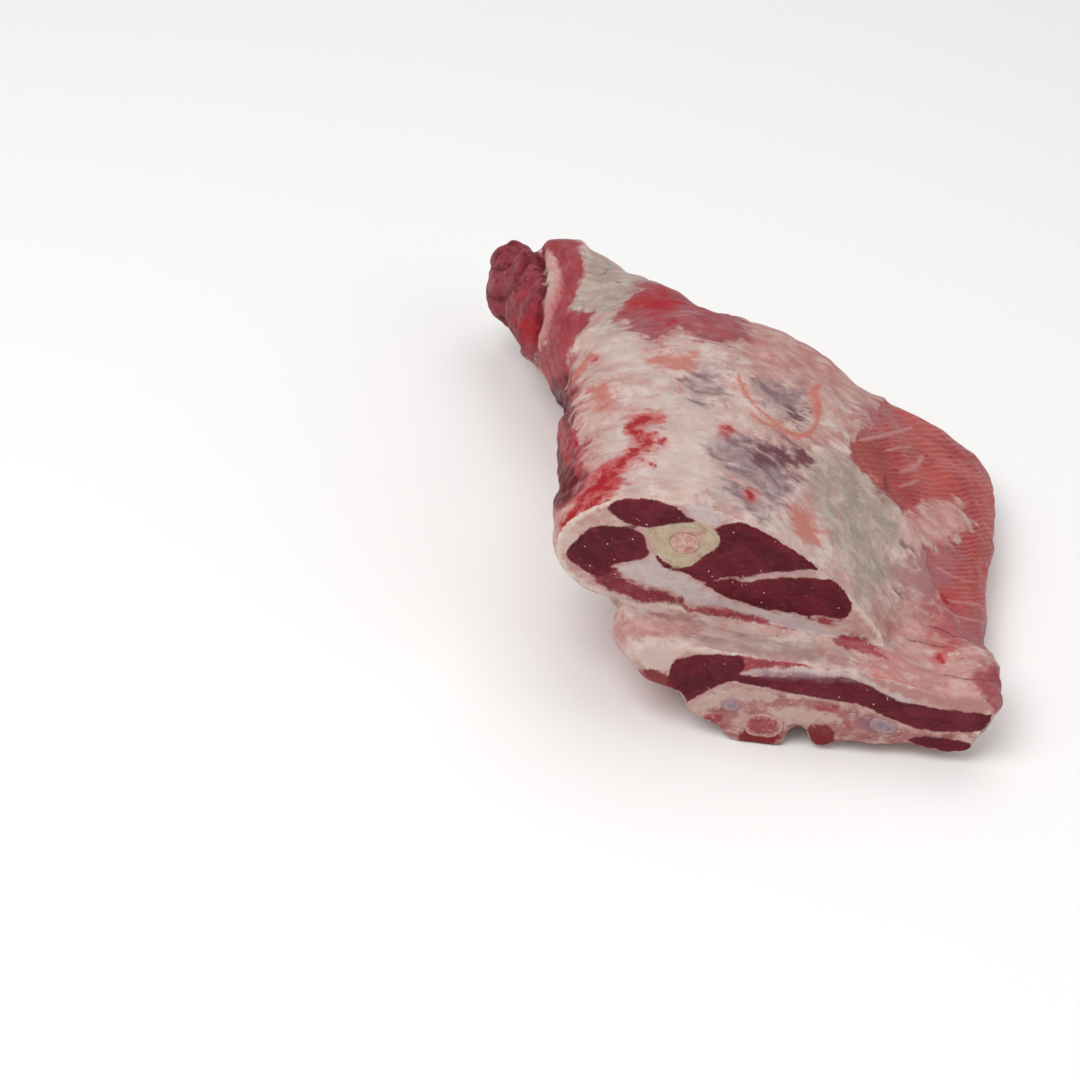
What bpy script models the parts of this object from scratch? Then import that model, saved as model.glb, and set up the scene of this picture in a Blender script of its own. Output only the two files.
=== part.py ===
"""A raw mutton shoulder on the bone, with its shank: the arm lies across a slab of breast.

The shoulder lies on its rib side. The saw cuts face -Y: the arm's cut, with the round arm bone,
stands a little behind the breast's. The shank bends away to the back left. Metres, +Z up.
"""

import math
from collections import namedtuple

import bmesh
import bpy
import numpy as np
from mathutils import Matrix, Vector

MM = 0.001

# The two sawn faces, the shelf of fat between them, and the floor, before the part is moved
BREAST_FACE_Y = 0.0
ARM_FACE_Y = 20 * MM
SHELF_LEFT_Z = 51 * MM
SHELF_RIGHT_Z = 43 * MM
SHELF_LEFT_X = -60 * MM
SHELF_RIGHT_X = 50 * MM
FLOOR_Z = -3 * MM

# Fusing: grain and rounds of smoothing, first for the big masses alone, then for all together
BULK_GRAIN = 4 * MM
BULK_ROUNDS = 14
GRAIN = 2.4 * MM
ROUNDS = 4
FACES_KEPT = 0.07
BULK_FACE_Y = ARM_FACE_Y - 3 * MM
MASS_POINTS = 56
BONE_POINTS = 28
RINGS_PER_SPAN = 6

# Bones and cartilage: the gap that keeps each one apart from the meat round it
BONE_GAP = 0.3 * MM

# The hollows between the ribs, on the underside
HOLLOWS_X = (-38 * MM, 38 * MM, 82 * MM)
HOLLOW_START_Y = 35 * MM
HOLLOW_LENGTH = 160 * MM
HOLLOW_WIDTH = 26 * MM
HOLLOW_DEPTH = 2 * MM

FAR = 0.6

# One section of a loft. Taper narrows its right side and sag lets both of its sides droop.
SECTION = "x y z half_width half_height turn square taper sag"
Station = namedtuple("Station", SECTION, defaults=(2.2, 0.0, 0.0))


# Helpers


def clear_scene():
    for obj in list(bpy.data.objects):
        bpy.data.objects.remove(obj, do_unlink=True)


def new_collection(name):
    collection = bpy.data.collections.new(name)
    bpy.context.scene.collection.children.link(collection)
    return collection


def finish_material(name, colour, roughness):
    material = bpy.data.materials.new(name)
    material.use_nodes = True
    shader = material.node_tree.nodes["Principled BSDF"]
    shader.inputs["Base Color"].default_value = (*colour, 1.0)
    shader.inputs["Roughness"].default_value = roughness
    shader.inputs["Metallic"].default_value = 0.0
    return material


def object_from(mesh_maker, name, collection):
    """A new object whose mesh is what mesh_maker leaves in a BMesh."""
    mesh = bpy.data.meshes.new(name)
    work = bmesh.new()
    mesh_maker(work)
    bmesh.ops.recalc_face_normals(work, faces=work.faces)
    work.to_mesh(mesh)
    work.free()
    obj = bpy.data.objects.new(name, mesh)
    collection.objects.link(obj)
    return obj


def between_stations(stations, t):
    """The station at t, counted in spans, on a smooth curve through them all."""
    last = len(stations) - 1
    span = min(int(t), last - 1)
    u = t - span
    picked = [stations[max(0, min(last, span + step))] for step in (-1, 0, 1, 2)]
    before, start, end, after = (np.array(station, float) for station in picked)
    value = 0.5 * (
        2 * start
        + (end - before) * u
        + (2 * before - 5 * start + 4 * end - after) * u**2
        + (3 * start - before - 3 * end + after) * u**3
    )
    return Station(*value)


def outline_of(station, size, grow, points):
    """The closed outline of a section, in its own flat frame: an ellipse at square 2, boxier above."""
    turn = Matrix.Rotation(math.radians(station.turn), 2)
    outline = []
    for k in range(points):
        angle = 2 * math.pi * k / points
        c, s = math.cos(angle), math.sin(angle)
        across = math.copysign(abs(c) ** (2 / station.square), c)
        up = math.copysign(abs(s) ** (2 / station.square), s)
        rise = up * (station.half_height + grow) * (1 - station.taper * across)
        droop = station.sag * across**2
        outline.append(turn @ Vector((across * (station.half_width + grow), rise - droop)) * size)
    return outline


def loft(name, stations, collection, start_round=0.0, end_round=0.0, grow=0.0, points=MASS_POINTS):
    """A closed body swept through oval sections, its two ends rounded over the given lengths."""
    count = RINGS_PER_SPAN * (len(stations) - 1) + 1
    rings = [between_stations(stations, k / RINGS_PER_SPAN) for k in range(count)]
    centres = [Vector((ring.x, ring.y, ring.z)) for ring in rings]
    along = [0.0]
    for first, second in zip(centres, centres[1:]):
        along.append(along[-1] + (second - first).length)

    def closing(distance, length):
        if length <= 0 or distance >= length:
            return 1.0
        return math.sqrt(max(0.0, 1 - (1 - distance / length) ** 2)) * 0.97 + 0.03

    def make(work):
        loops = []
        for k, ring in enumerate(rings):
            ahead = centres[min(k + 1, count - 1)] - centres[max(k - 1, 0)]
            ahead.normalize()
            side = ahead.cross(Vector((0, 0, 1))).normalized()
            up = side.cross(ahead)
            size = closing(along[k], start_round) * closing(along[-1] - along[k], end_round)
            loop = []
            for across, rise in outline_of(ring, size, grow, points):
                loop.append(work.verts.new(centres[k] + side * across + up * rise))
            loops.append(loop)
        for first, second in zip(loops, loops[1:]):
            for k in range(points):
                after = (k + 1) % points
                work.faces.new((first[k], first[after], second[after], second[k]))
        work.faces.new(loops[0])
        work.faces.new(loops[-1])

    return object_from(make, name, collection)


def block(name, low, high, collection, turn_y=0.0):
    """A box between two corners, turned about its own middle by turn_y degrees round Y."""
    low, high = Vector(low), Vector(high)

    def make(work):
        bmesh.ops.create_cube(work, size=1.0)
        for vertex in work.verts:
            vertex.co = Vector(a * b for a, b in zip(vertex.co, high - low))

    obj = object_from(make, name, collection)
    obj.location = (low + high) / 2
    obj.rotation_euler = (0, math.radians(turn_y), 0)
    return obj


def ball(name, centre, radii, collection, turns=(0, 0, 0)):
    """An ellipsoid, turned by degrees about X, Y and Z."""

    def make(work):
        bmesh.ops.create_uvsphere(work, u_segments=24, v_segments=14, radius=1.0)
        for vertex in work.verts:
            vertex.co = Vector(a * b for a, b in zip(vertex.co, radii))

    obj = object_from(make, name, collection)
    obj.location = centre
    obj.rotation_euler = [math.radians(turn) for turn in turns]
    return obj


def as_cutter(obj):
    obj.hide_render = True
    obj.display_type = "WIRE"
    return obj


def boolean(target, other, operation):
    modifier = target.modifiers.new(f"{operation.title()} {other.name}", "BOOLEAN")
    modifier.operation = operation
    modifier.object = other
    modifier.solver = "EXACT"


# The muscles and fat, before they are fused


def arm_stations():
    """The arm over the breast: egg-shaped sections, thick at the left, that lean to the right."""
    return [
        Station(-0.011, -0.010, 0.075, 0.078, 0.027, -16.5, 2.1, 0.50, 0.012),
        Station(-0.011, 0.020, 0.073, 0.079, 0.029, -15.7, 2.1, 0.45, 0.011),
        Station(-0.010, 0.060, 0.069, 0.081, 0.034, -14, 2.1, 0.32, 0.008),
        Station(-0.010, 0.110, 0.064, 0.083, 0.038, -12, 2.1, 0.22, 0.005),
        Station(-0.010, 0.155, 0.060, 0.084, 0.039, -11, 2.1, 0.14, 0.003),
        Station(-0.018, 0.193, 0.053, 0.077, 0.037, -9, 2.1, 0.10, 0.0),
        Station(-0.036, 0.232, 0.043, 0.063, 0.032, -6, 2.1, 0.05, 0.0),
    ]


def blade_stations():
    """The blade's wedge, which slopes from the arm down to the thin right edge."""
    return [
        Station(0.046, 0.006, 0.026, 0.056, 0.010, -12, 2.4),
        Station(0.043, 0.060, 0.035, 0.075, 0.021, -17, 2.4),
        Station(0.044, 0.115, 0.041, 0.081, 0.028, -21, 2.5),
        Station(0.046, 0.170, 0.041, 0.087, 0.028, -22, 2.8),
        Station(0.045, 0.218, 0.037, 0.087, 0.024, -22, 3.2),
    ]


def valley_stations():
    """What fills the valley between the arm and the blade, behind the arm's face."""
    return [
        Station(0.050, 0.050, 0.042, 0.024, 0.016, -30, 2.2),
        Station(0.054, 0.100, 0.046, 0.034, 0.022, -30, 2.2),
        Station(0.048, 0.150, 0.050, 0.040, 0.026, -28, 2.2),
        Station(0.030, 0.200, 0.046, 0.038, 0.026, -24, 2.2),
    ]


def upper_breast_stations():
    """The broad upper layer of the breast, which ends in the shelf of fat."""
    return [
        Station(0.035, -0.012, 0.034, 0.074, 0.014, -6, 3.4, 0.15, 0.006),
        Station(0.028, 0.050, 0.028, 0.084, 0.014, -5, 3.2, 0.0, 0.004),
        Station(0.022, 0.110, 0.022, 0.096, 0.014, -3, 3.2),
        Station(0.022, 0.165, 0.019, 0.104, 0.015, -2, 3.2),
        Station(0.020, 0.222, 0.017, 0.102, 0.015, 0, 3.2),
    ]


def lower_breast_stations():
    """The narrower layer underneath, which carries the ribs and lifts off the floor in front."""
    return [
        Station(0.038, -0.012, 0.020, 0.060, 0.0135, 0, 3.2),
        Station(0.037, 0.050, 0.012, 0.070, 0.016, 0, 3.2),
        Station(0.028, 0.110, 0.010, 0.086, 0.015, 0, 3.2),
        Station(0.024, 0.165, 0.009, 0.094, 0.014, 0, 3.2),
        Station(0.018, 0.218, 0.009, 0.090, 0.014, 0, 3.0),
    ]


def rib_cover_stations():
    """The ridge of flesh round the rib."""
    return [
        Station(0.011, -0.012, 0.008, 0.020, 0.013, 0, 2.2),
        Station(0.012, 0.080, 0.008, 0.018, 0.012, 0, 2.2),
        Station(0.008, 0.180, 0.008, 0.018, 0.012, 0, 2.2),
    ]


def shank_stations():
    """The shank, from inside the elbow out to its cut end."""
    return [
        Station(-0.028, 0.165, 0.054, 0.053, 0.038, 0, 2.1),
        Station(-0.055, 0.210, 0.050, 0.046, 0.035, 0, 2.1),
        Station(-0.077, 0.246, 0.046, 0.038, 0.032, 0, 2.1),
        Station(-0.095, 0.280, 0.042, 0.032, 0.031, 0, 2.1),
        Station(-0.108, 0.302, 0.038, 0.027, 0.027, 0, 2.1),
    ]


def bulk_masses(collection):
    return [
        loft("arm", arm_stations(), collection, end_round=0.05),
        loft("blade", blade_stations(), collection, start_round=0.035, end_round=0.02),
        loft("valley", valley_stations(), collection, start_round=0.03, end_round=0.03),
        loft("shank", shank_stations(), collection, end_round=0.014),
    ]


def breast_masses(collection):
    return [
        loft("upper_breast", upper_breast_stations(), collection, end_round=0.015),
        loft("lower_breast", lower_breast_stations(), collection, end_round=0.015),
        loft("rib_cover", rib_cover_stations(), collection),
        ball("flap", (-0.043, 0.017, 0.0405), (0.017, 0.017, 0.012), collection),
        ball("front_corner_fat", (0.099, 0.022, 0.028), (0.015, 0.036, 0.012), collection),
        ball("thin_end", (0.090, 0.006, 0.009), (0.017, 0.020, 0.007), collection),
        ball("rib_lump", (0.0385, 0.006, 0.0045), (0.006, 0.016, 0.0065), collection),
    ]


def shank_end_masses(collection):
    """What is left at the end of the shank: torn muscle on the left, a tendon's lobe on the right."""
    return [
        ball("torn_lobe", (-0.119, 0.298, 0.040), (0.015, 0.022, 0.017), collection),
        ball("torn_lump", (-0.124, 0.286, 0.034), (0.011, 0.011, 0.012), collection),
        ball("tendon_lobe", (-0.097, 0.303, 0.044), (0.013, 0.022, 0.016), collection),
    ]


def joined(objects, name, collection):
    """One object that holds the meshes of several, which may still overlap."""
    mesh = bpy.data.meshes.new(name)
    work = bmesh.new()
    for obj in objects:
        obj.data.transform(Matrix.LocRotScale(obj.location, obj.rotation_euler, None))
        work.from_mesh(obj.data)
        bpy.data.objects.remove(obj, do_unlink=True)
    work.to_mesh(mesh)
    work.free()
    obj = bpy.data.objects.new(name, mesh)
    collection.objects.link(obj)
    return obj


def melt(obj, grain, rounds):
    """Fuses what overlaps in an object and softens its creases."""
    remesh = obj.modifiers.new("Melt together", "REMESH")
    remesh.mode = "VOXEL"
    remesh.voxel_size = grain
    smooth = obj.modifiers.new("Soften", "SMOOTH")
    smooth.factor = 0.5
    smooth.iterations = rounds


def baked(obj):
    """The same object with its modifiers made final in its mesh."""
    bpy.context.view_layer.update()
    graph = bpy.context.evaluated_depsgraph_get()
    mesh = bpy.data.meshes.new_from_object(obj.evaluated_get(graph))
    obj.modifiers.clear()
    obj.data = mesh
    return obj


def body_of_meat(parts, cutters):
    bulk = joined(bulk_masses(cutters), "bulk", cutters)
    melt(bulk, BULK_GRAIN, BULK_ROUNDS)
    low, high = (-FAR, -FAR, -FAR), (FAR, BULK_FACE_Y, FAR)
    before_bulk = as_cutter(block("before_bulk", low, high, cutters))
    boolean(bulk, before_bulk, "DIFFERENCE")
    baked(bulk)
    bpy.data.objects.remove(before_bulk, do_unlink=True)
    masses = [bulk, *breast_masses(cutters), *shank_end_masses(cutters)]
    body = joined(masses, "meat", parts)
    melt(body, GRAIN, ROUNDS)
    thin = body.modifiers.new("Fewer faces", "DECIMATE")
    thin.ratio = FACES_KEPT
    return body


# The saw cuts and what shows in them


def saw_cuts(body, cutters):
    below_floor = block("below_floor", (-FAR, -FAR, -FAR), (FAR, FAR, FLOOR_Z), cutters)
    before_breast = block("before_breast", (-FAR, -FAR, -0.1), (FAR, BREAST_FACE_Y, FAR), cutters)
    slope = math.atan2(SHELF_LEFT_Z - SHELF_RIGHT_Z, SHELF_RIGHT_X - SHELF_LEFT_X)
    height = 0.1
    half_run = 0.09
    middle_x = (SHELF_LEFT_X + SHELF_RIGHT_X) / 2 + math.sin(slope) * height / 2
    middle_z = (SHELF_LEFT_Z + SHELF_RIGHT_Z) / 2 + height / 2
    before_arm = block(
        "before_arm",
        (middle_x - half_run, -0.1, middle_z - height / 2),
        (middle_x + half_run, ARM_FACE_Y, middle_z + height / 2),
        cutters,
        turn_y=math.degrees(slope),
    )
    for cutter in (below_floor, before_breast, before_arm):
        boolean(body, as_cutter(cutter), "DIFFERENCE")


def hollows(body, cutters):
    """The notch beside the rib, the cleft in the shank's end and the hollows between the ribs."""
    shapes = [
        ball("notch", (0.0276, 0.0, 0.0005), (0.0052, 0.034, 0.0088), cutters),
        ball("cleft", (-0.109, 0.326, 0.042), (0.0045, 0.018, 0.030), cutters, turns=(-20, 0, 15)),
    ]
    for x in HOLLOWS_X:
        middle = (x, HOLLOW_LENGTH / 2 + HOLLOW_START_Y, FLOOR_Z)
        radii = (HOLLOW_WIDTH / 2, HOLLOW_LENGTH / 2, HOLLOW_DEPTH)
        shapes.append(ball("rib_hollow", middle, radii, cutters))
    for shape in shapes:
        boolean(body, as_cutter(shape), "DIFFERENCE")


def humerus_stations():
    return [
        Station(-0.034, 0.000, 0.0875, 0.0158, 0.0122, -12, 2.1),
        Station(-0.036, 0.060, 0.082, 0.0150, 0.0120, -12, 2.1),
        Station(-0.044, 0.120, 0.070, 0.0160, 0.0130, -12, 2.1),
        Station(-0.054, 0.165, 0.058, 0.0170, 0.0140, -12, 2.1),
    ]


def marrow_stations():
    return [
        Station(-0.033, 0.000, 0.0892, 0.0066, 0.0056, -12, 2.0),
        Station(-0.036, 0.060, 0.0825, 0.0060, 0.0050, -12, 2.0),
        Station(-0.044, 0.115, 0.0710, 0.0050, 0.0045, -12, 2.0),
    ]


def rib_stations():
    return [
        Station(0.0120, -0.010, 0.0078, 0.0086, 0.0068, 0, 2.3),
        Station(0.0115, 0.080, 0.0080, 0.0086, 0.0064, 0, 2.3),
        Station(0.0090, 0.165, 0.0085, 0.0080, 0.0060, 0, 2.3),
    ]


def left_cartilage_stations():
    return [
        Station(-0.0030, -0.010, 0.0180, 0.0040, 0.0034, 20, 2.1),
        Station(-0.0080, 0.060, 0.0150, 0.0042, 0.0036, 10, 2.1),
        Station(-0.0180, 0.130, 0.0120, 0.0042, 0.0036, 0, 2.1),
    ]


def right_cartilage_stations():
    return [
        Station(0.0640, -0.010, 0.0160, 0.0060, 0.0034, -10, 2.4),
        Station(0.062, 0.060, 0.0120, 0.0060, 0.0040, 0, 2.3),
        Station(0.056, 0.140, 0.0100, 0.0060, 0.0045, 0, 2.2),
    ]


def sawn(obj, face_y, cutters):
    """Cuts a bone off at the same plane as the meat round it."""
    low, high = (-FAR, -FAR, -FAR), (FAR, face_y, FAR)
    boolean(obj, as_cutter(block(f"before_{obj.name}", low, high, cutters)), "DIFFERENCE")


def inlay(name, stations, face_y, material, hosts, parts, cutters):
    """A bone that runs into the meat from a sawn face, and the tunnel that it lies in."""
    shape = {"end_round": 0.008, "points": BONE_POINTS}
    bone = loft(name, stations, parts, **shape)
    bone.data.materials.append(material)
    sawn(bone, face_y, cutters)
    for host in hosts:
        tunnel = loft(f"{name}_tunnel", stations, cutters, grow=BONE_GAP, **shape)
        boolean(host, as_cutter(tunnel), "DIFFERENCE")
    return bone


def stand_on_origin(objects):
    """Moves everything so that the middle of the body's underside is the origin."""
    bpy.context.view_layer.update()
    graph = bpy.context.evaluated_depsgraph_get()
    corners = []
    for obj in objects:
        evaluated = obj.evaluated_get(graph)
        corners += [evaluated.matrix_world @ vertex.co for vertex in evaluated.data.vertices]
    low = np.min(corners, axis=0)
    high = np.max(corners, axis=0)
    shift = Vector((-(low[0] + high[0]) / 2, -(low[1] + high[1]) / 2, -low[2]))
    for obj in bpy.data.objects:
        obj.location += shift
    print("moved by", [round(value, 5) for value in shift], "size", (high - low).round(4))


def main():
    clear_scene()
    parts = new_collection("mutton_shoulder")
    cutters = new_collection("cutters")
    meat = finish_material("raw_mutton", (0.50, 0.26, 0.24), 0.45)
    bone = finish_material("cut_bone", (0.66, 0.52, 0.44), 0.55)
    red_marrow = finish_material("marrow", (0.52, 0.24, 0.22), 0.40)
    cartilage = finish_material("cartilage", (0.50, 0.46, 0.50), 0.30)
    body = body_of_meat(parts, cutters)
    body.data.materials.append(meat)
    saw_cuts(body, cutters)
    hollows(body, cutters)
    arm = (ARM_FACE_Y, bone, [body], parts, cutters)
    humerus = inlay("humerus", humerus_stations(), *arm)
    inlay("marrow", marrow_stations(), ARM_FACE_Y, red_marrow, [humerus], parts, cutters)
    breast = (BREAST_FACE_Y, cartilage, [body], parts, cutters)
    inlay("rib", rib_stations(), BREAST_FACE_Y, bone, [body], parts, cutters)
    inlay("left_cartilage", left_cartilage_stations(), *breast)
    inlay("right_cartilage", right_cartilage_stations(), *breast)
    stand_on_origin([body])


main()
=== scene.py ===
# %% [markdown]
# A raw mutton shoulder, sawn through the arm and through the breast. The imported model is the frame:
# every node of it is one solid, in metres, with +Z up. This script gives those solids their looks.

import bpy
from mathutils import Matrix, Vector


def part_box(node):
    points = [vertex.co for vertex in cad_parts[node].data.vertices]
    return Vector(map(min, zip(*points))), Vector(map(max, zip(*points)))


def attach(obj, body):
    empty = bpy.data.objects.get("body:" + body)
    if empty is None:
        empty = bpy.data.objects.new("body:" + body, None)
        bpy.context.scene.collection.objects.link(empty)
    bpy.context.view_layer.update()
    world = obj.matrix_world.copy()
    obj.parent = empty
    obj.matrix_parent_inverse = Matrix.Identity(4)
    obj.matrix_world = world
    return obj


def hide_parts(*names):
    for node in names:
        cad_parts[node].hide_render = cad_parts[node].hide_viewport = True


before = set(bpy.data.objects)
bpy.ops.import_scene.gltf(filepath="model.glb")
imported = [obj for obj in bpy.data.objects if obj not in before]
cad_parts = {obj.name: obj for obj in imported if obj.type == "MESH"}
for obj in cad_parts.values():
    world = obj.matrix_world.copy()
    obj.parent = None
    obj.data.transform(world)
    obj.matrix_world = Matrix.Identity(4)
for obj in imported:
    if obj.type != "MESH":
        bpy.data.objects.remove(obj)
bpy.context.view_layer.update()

# %% [markdown]
# numpy works on all points at once. Blender's trees find what lies nearest to a point or in the way
# of a ray, and its noise gives a random height that changes smoothly from place to place.

# %% Modules and units
from math import cos, radians, sin

import bmesh
import bpy
import numpy as np
from mathutils import Matrix, Vector, noise
from mathutils.bvhtree import BVHTree
from mathutils.kdtree import KDTree

MM = 0.001

# %% [markdown]
# The camera comes first, because much of what follows is placed by what the photograph shows.
# It looks down at the sawn faces at about 37 degrees. A long lens keeps lines nearly parallel.
# It is turned a little about its own axis, which is simpler than tilting the meat on its floor.

# %% Camera
PHOTO_SIZE = 1080
LENS = 85.0
SENSOR = 36.0
AIM = Vector((-0.0912, -0.0680, 0.0279))
DISTANCE = 1.186
AZIMUTH = radians(-0.86)
ELEVATION = radians(36.73)
ROLL = radians(7.16)

back = Vector((sin(AZIMUTH) * cos(ELEVATION), -cos(AZIMUTH) * cos(ELEVATION), sin(ELEVATION)))
level = Vector((cos(AZIMUTH), sin(AZIMUTH), 0))
right = level * cos(ROLL) + back.cross(level) * sin(ROLL)
up = back.cross(right)
camera_place = AIM + back * DISTANCE


def new_object(name, data):
    obj = bpy.data.objects.new(name, data)
    bpy.context.scene.collection.objects.link(obj)
    return obj


camera_data = bpy.data.cameras.new("camera")
camera_data.lens = LENS
camera_data.sensor_width = SENSOR
camera = new_object("camera", camera_data)
camera.matrix_world = Matrix.Translation(camera_place) @ Matrix((right, up, back)).transposed().to_4x4()
bpy.context.scene.camera = camera

# %% [markdown]
# To place a streak of blood or the edge of a muscle, the script has to know where each point of the
# meat shows in the photograph. The lens gives that: a point's place beside the camera's axis,
# divided by its distance. Guessing places in space by eye would take many more tries.

# %% From the meat to the photograph
PIXELS = LENS / SENSOR * PHOTO_SIZE
MM_PER_PIXEL = DISTANCE / PIXELS / MM


def pixels_of(places):
    """Where points in metres show in the photograph, in its pixels."""
    seen = (places - np.array(camera_place)) @ np.array((right, up, back)).T
    across = PHOTO_SIZE / 2 + PIXELS * seen[:, 0] / -seen[:, 2]
    down = PHOTO_SIZE / 2 - PIXELS * seen[:, 1] / -seen[:, 2]
    return np.column_stack([across, down])


print("one pixel of the photograph is", round(MM_PER_PIXEL, 3), "mm of meat")

# %% [markdown]
# The meat is one closed skin. A copy of the CAD solid is filled in round the bones and remeshed
# into an even net of small squares, which a fine relief can then move. Sculpting by hand would
# also do, but a script gives the same result each time.

# %% A filled copy of the meat
BONE_NODES = ("humerus", "marrow", "rib", "left_cartilage", "right_cartilage")
BONE_SWELL = 0.9 * MM
FINE_GRAIN = 1.5 * MM
SAME_POINT = 0.001 * MM


def merged(name):
    """A node's own triangles, joined into one net."""
    work = bmesh.new()
    work.from_mesh(bpy.data.objects[name].data)
    bmesh.ops.remove_doubles(work, verts=work.verts, dist=SAME_POINT)
    work.normal_update()
    return work


def remeshed(name, work, grain):
    """An object whose mesh is the work's form as a net of squares of one size."""
    rough = bpy.data.meshes.new(name)
    work.to_mesh(rough)
    obj = new_object(name, rough)
    remesh = obj.modifiers.new("Remesh", "REMESH")
    remesh.mode = "VOXEL"
    remesh.voxel_size = grain
    fine = bpy.data.meshes.new_from_object(obj.evaluated_get(bpy.context.evaluated_depsgraph_get()))
    obj.modifiers.clear()
    obj.data = fine
    bpy.data.meshes.remove(rough)
    return obj


work = merged("meat")
for name in BONE_NODES:
    bone = merged(name)
    front = min(vertex.co.y for vertex in bone.verts)
    for vertex in bone.verts:
        vertex.co += vertex.normal * BONE_SWELL
        vertex.co.y = max(vertex.co.y, front)
    swollen = bpy.data.meshes.new(name)
    bone.to_mesh(swollen)
    work.from_mesh(swollen)
    bone.free()
    bpy.data.meshes.remove(swollen)
mutton = remeshed("mutton", work, FINE_GRAIN)
work.free()
skin = mutton.data
print("fine copy:", len(skin.vertices), "points,", 2 * len(skin.polygons), "triangles")

# %% [markdown]
# The net follows the squares of its grid, so it is smoothed: each point moves towards its
# neighbours' mean. A saw leaves a flat face with a firm edge, so the points of the two sawn faces
# may only slide within their plane.

# %% Smooth the net and keep the sawn faces flat
ARM_FACE_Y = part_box("humerus")[0][1]
BREAST_FACE_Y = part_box("meat")[0][1]
FACE_MARGIN = 0.4 * MM
FACING_OUT = -0.9
ROUNDS = 14


def read_points(values, field):
    flat = np.empty(len(values) * 3, np.float32)
    values.foreach_get(field, flat)
    return flat.reshape(-1, 3).astype(float)


def edges_of(mesh):
    flat = np.empty(len(mesh.edges) * 2, np.int32)
    mesh.edges.foreach_get("vertices", flat)
    return flat.reshape(-1, 2)


def relaxed(values, edges):
    """Each value drawn halfway to the mean of its neighbours."""
    neighbours = np.bincount(edges.ravel(), minlength=len(values))[:, None]
    total = np.zeros_like(values)
    np.add.at(total, edges[:, 0], values[edges[:, 1]])
    np.add.at(total, edges[:, 1], values[edges[:, 0]])
    return (values + total / neighbours) / 2


def move_to(mesh, places):
    mesh.vertices.foreach_set("co", places.astype(np.float32).ravel())
    mesh.update()


edges = edges_of(skin)
places = read_points(skin.vertices, "co")
facing = read_points(skin.vertex_normals, "vector")
on_arm_cut = (abs(places[:, 1] - ARM_FACE_Y) < FACE_MARGIN) & (facing[:, 1] < FACING_OUT)
on_breast_cut = places[:, 1] < BREAST_FACE_Y + FACE_MARGIN
sawn = on_arm_cut | on_breast_cut
for _ in range(ROUNDS):
    places = relaxed(places, edges)
    places[on_arm_cut, 1] = ARM_FACE_Y
    places[on_breast_cut, 1] = BREAST_FACE_Y
move_to(skin, places)
facing = read_points(skin.vertex_normals, "vector")
print("sawn points:", on_arm_cut.sum(), "on the arm,", on_breast_cut.sum(), "on the breast")

# %% [markdown]
# A butcher knows the muscles by their outlines. These are read off the photograph as short loops of
# its pixels, and a smooth curve is drawn through each. First come the muscles that the saw laid open.
# PALE_LEAN and STRIP are thin muscles that show lighter, through fat or membrane.

# %% Outlines on the sawn faces
LEAN = [
    [(608, 508), (612, 502), (623, 497), (643, 498), (671, 505), (682, 512), (687, 517), (697, 521),
     (682, 523), (665, 525), (650, 527), (636, 526), (624, 522), (614, 516)],
    [(566, 554), (571, 544), (580, 536), (589, 528), (600, 525), (619, 526), (630, 528), (642, 534),
     (647, 544), (649, 553), (643, 559), (631, 561), (612, 566), (612, 572), (600, 576), (588, 572),
     (576, 565), (568, 559)],
    [(713, 531), (724, 525), (737, 522), (749, 524), (763, 529), (778, 534), (792, 541), (806, 550),
     (821, 560), (833, 567), (828, 569), (804, 570), (780, 572), (761, 574), (749, 578), (732, 577),
     (718, 579), (708, 583), (696, 579), (686, 573), (674, 571), (662, 565), (656, 557), (659, 553),
     (667, 562), (677, 567), (689, 565), (700, 558), (707, 554), (714, 550), (719, 544), (718, 536)],
    [(703, 584), (713, 580), (732, 579), (749, 581), (766, 578), (792, 578), (816, 578), (828, 579),
     (838, 578), (842, 583), (847, 595), (852, 604), (850, 612), (840, 619), (823, 616), (806, 616),
     (790, 612), (770, 610), (756, 607), (739, 601), (725, 597), (713, 590)],
    [(728, 680), (742, 674), (758, 676), (775, 676), (808, 677), (832, 677), (851, 681), (868, 687),
     (884, 695), (901, 704), (922, 707), (944, 711), (966, 714), (992, 716), (1012, 716), (1002, 724),
     (980, 733), (950, 734), (928, 732), (909, 728), (887, 719), (868, 710), (851, 704), (832, 700),
     (813, 697), (791, 693), (769, 688), (753, 685), (737, 682)],
    [(674, 661), (682, 658), (704, 654), (723, 655), (742, 657), (744, 668), (737, 676), (726, 682),
     (709, 690), (693, 699), (680, 705), (668, 703), (666, 690), (668, 676)],
    [(908, 741), (928, 738), (953, 742), (975, 748), (962, 762), (939, 752), (918, 747)],
]
STRIP = [
    [(590, 572), (600, 566), (614, 567), (624, 578), (636, 584), (650, 588), (667, 592), (683, 600),
     (674, 602), (655, 603), (641, 601), (624, 595), (610, 590), (598, 582)],
]
PALE_LEAN = [
    [(684, 606), (698, 608), (713, 607), (727, 609), (746, 614), (761, 618), (780, 626), (799, 633),
     (818, 639), (833, 641), (840, 637), (850, 635), (859, 638), (871, 643), (881, 650), (892, 661),
     (883, 660), (871, 656), (857, 653), (840, 651), (823, 646), (804, 642), (780, 633), (761, 625),
     (744, 621), (722, 616), (703, 614), (689, 612)],
    [(735, 656), (764, 660), (791, 658), (813, 658), (832, 663), (856, 672), (832, 669), (805, 667),
     (778, 668), (755, 669), (735, 671)],
    [(806, 616), (823, 617), (838, 620), (846, 616), (838, 624), (824, 624)],
    [(812, 706), (830, 705), (846, 709), (836, 712), (820, 710)],
    [(706, 716), (716, 712), (724, 716), (716, 726), (706, 728), (700, 722)],
    [(845, 722), (852, 722), (852, 728), (845, 728)],
]

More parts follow.
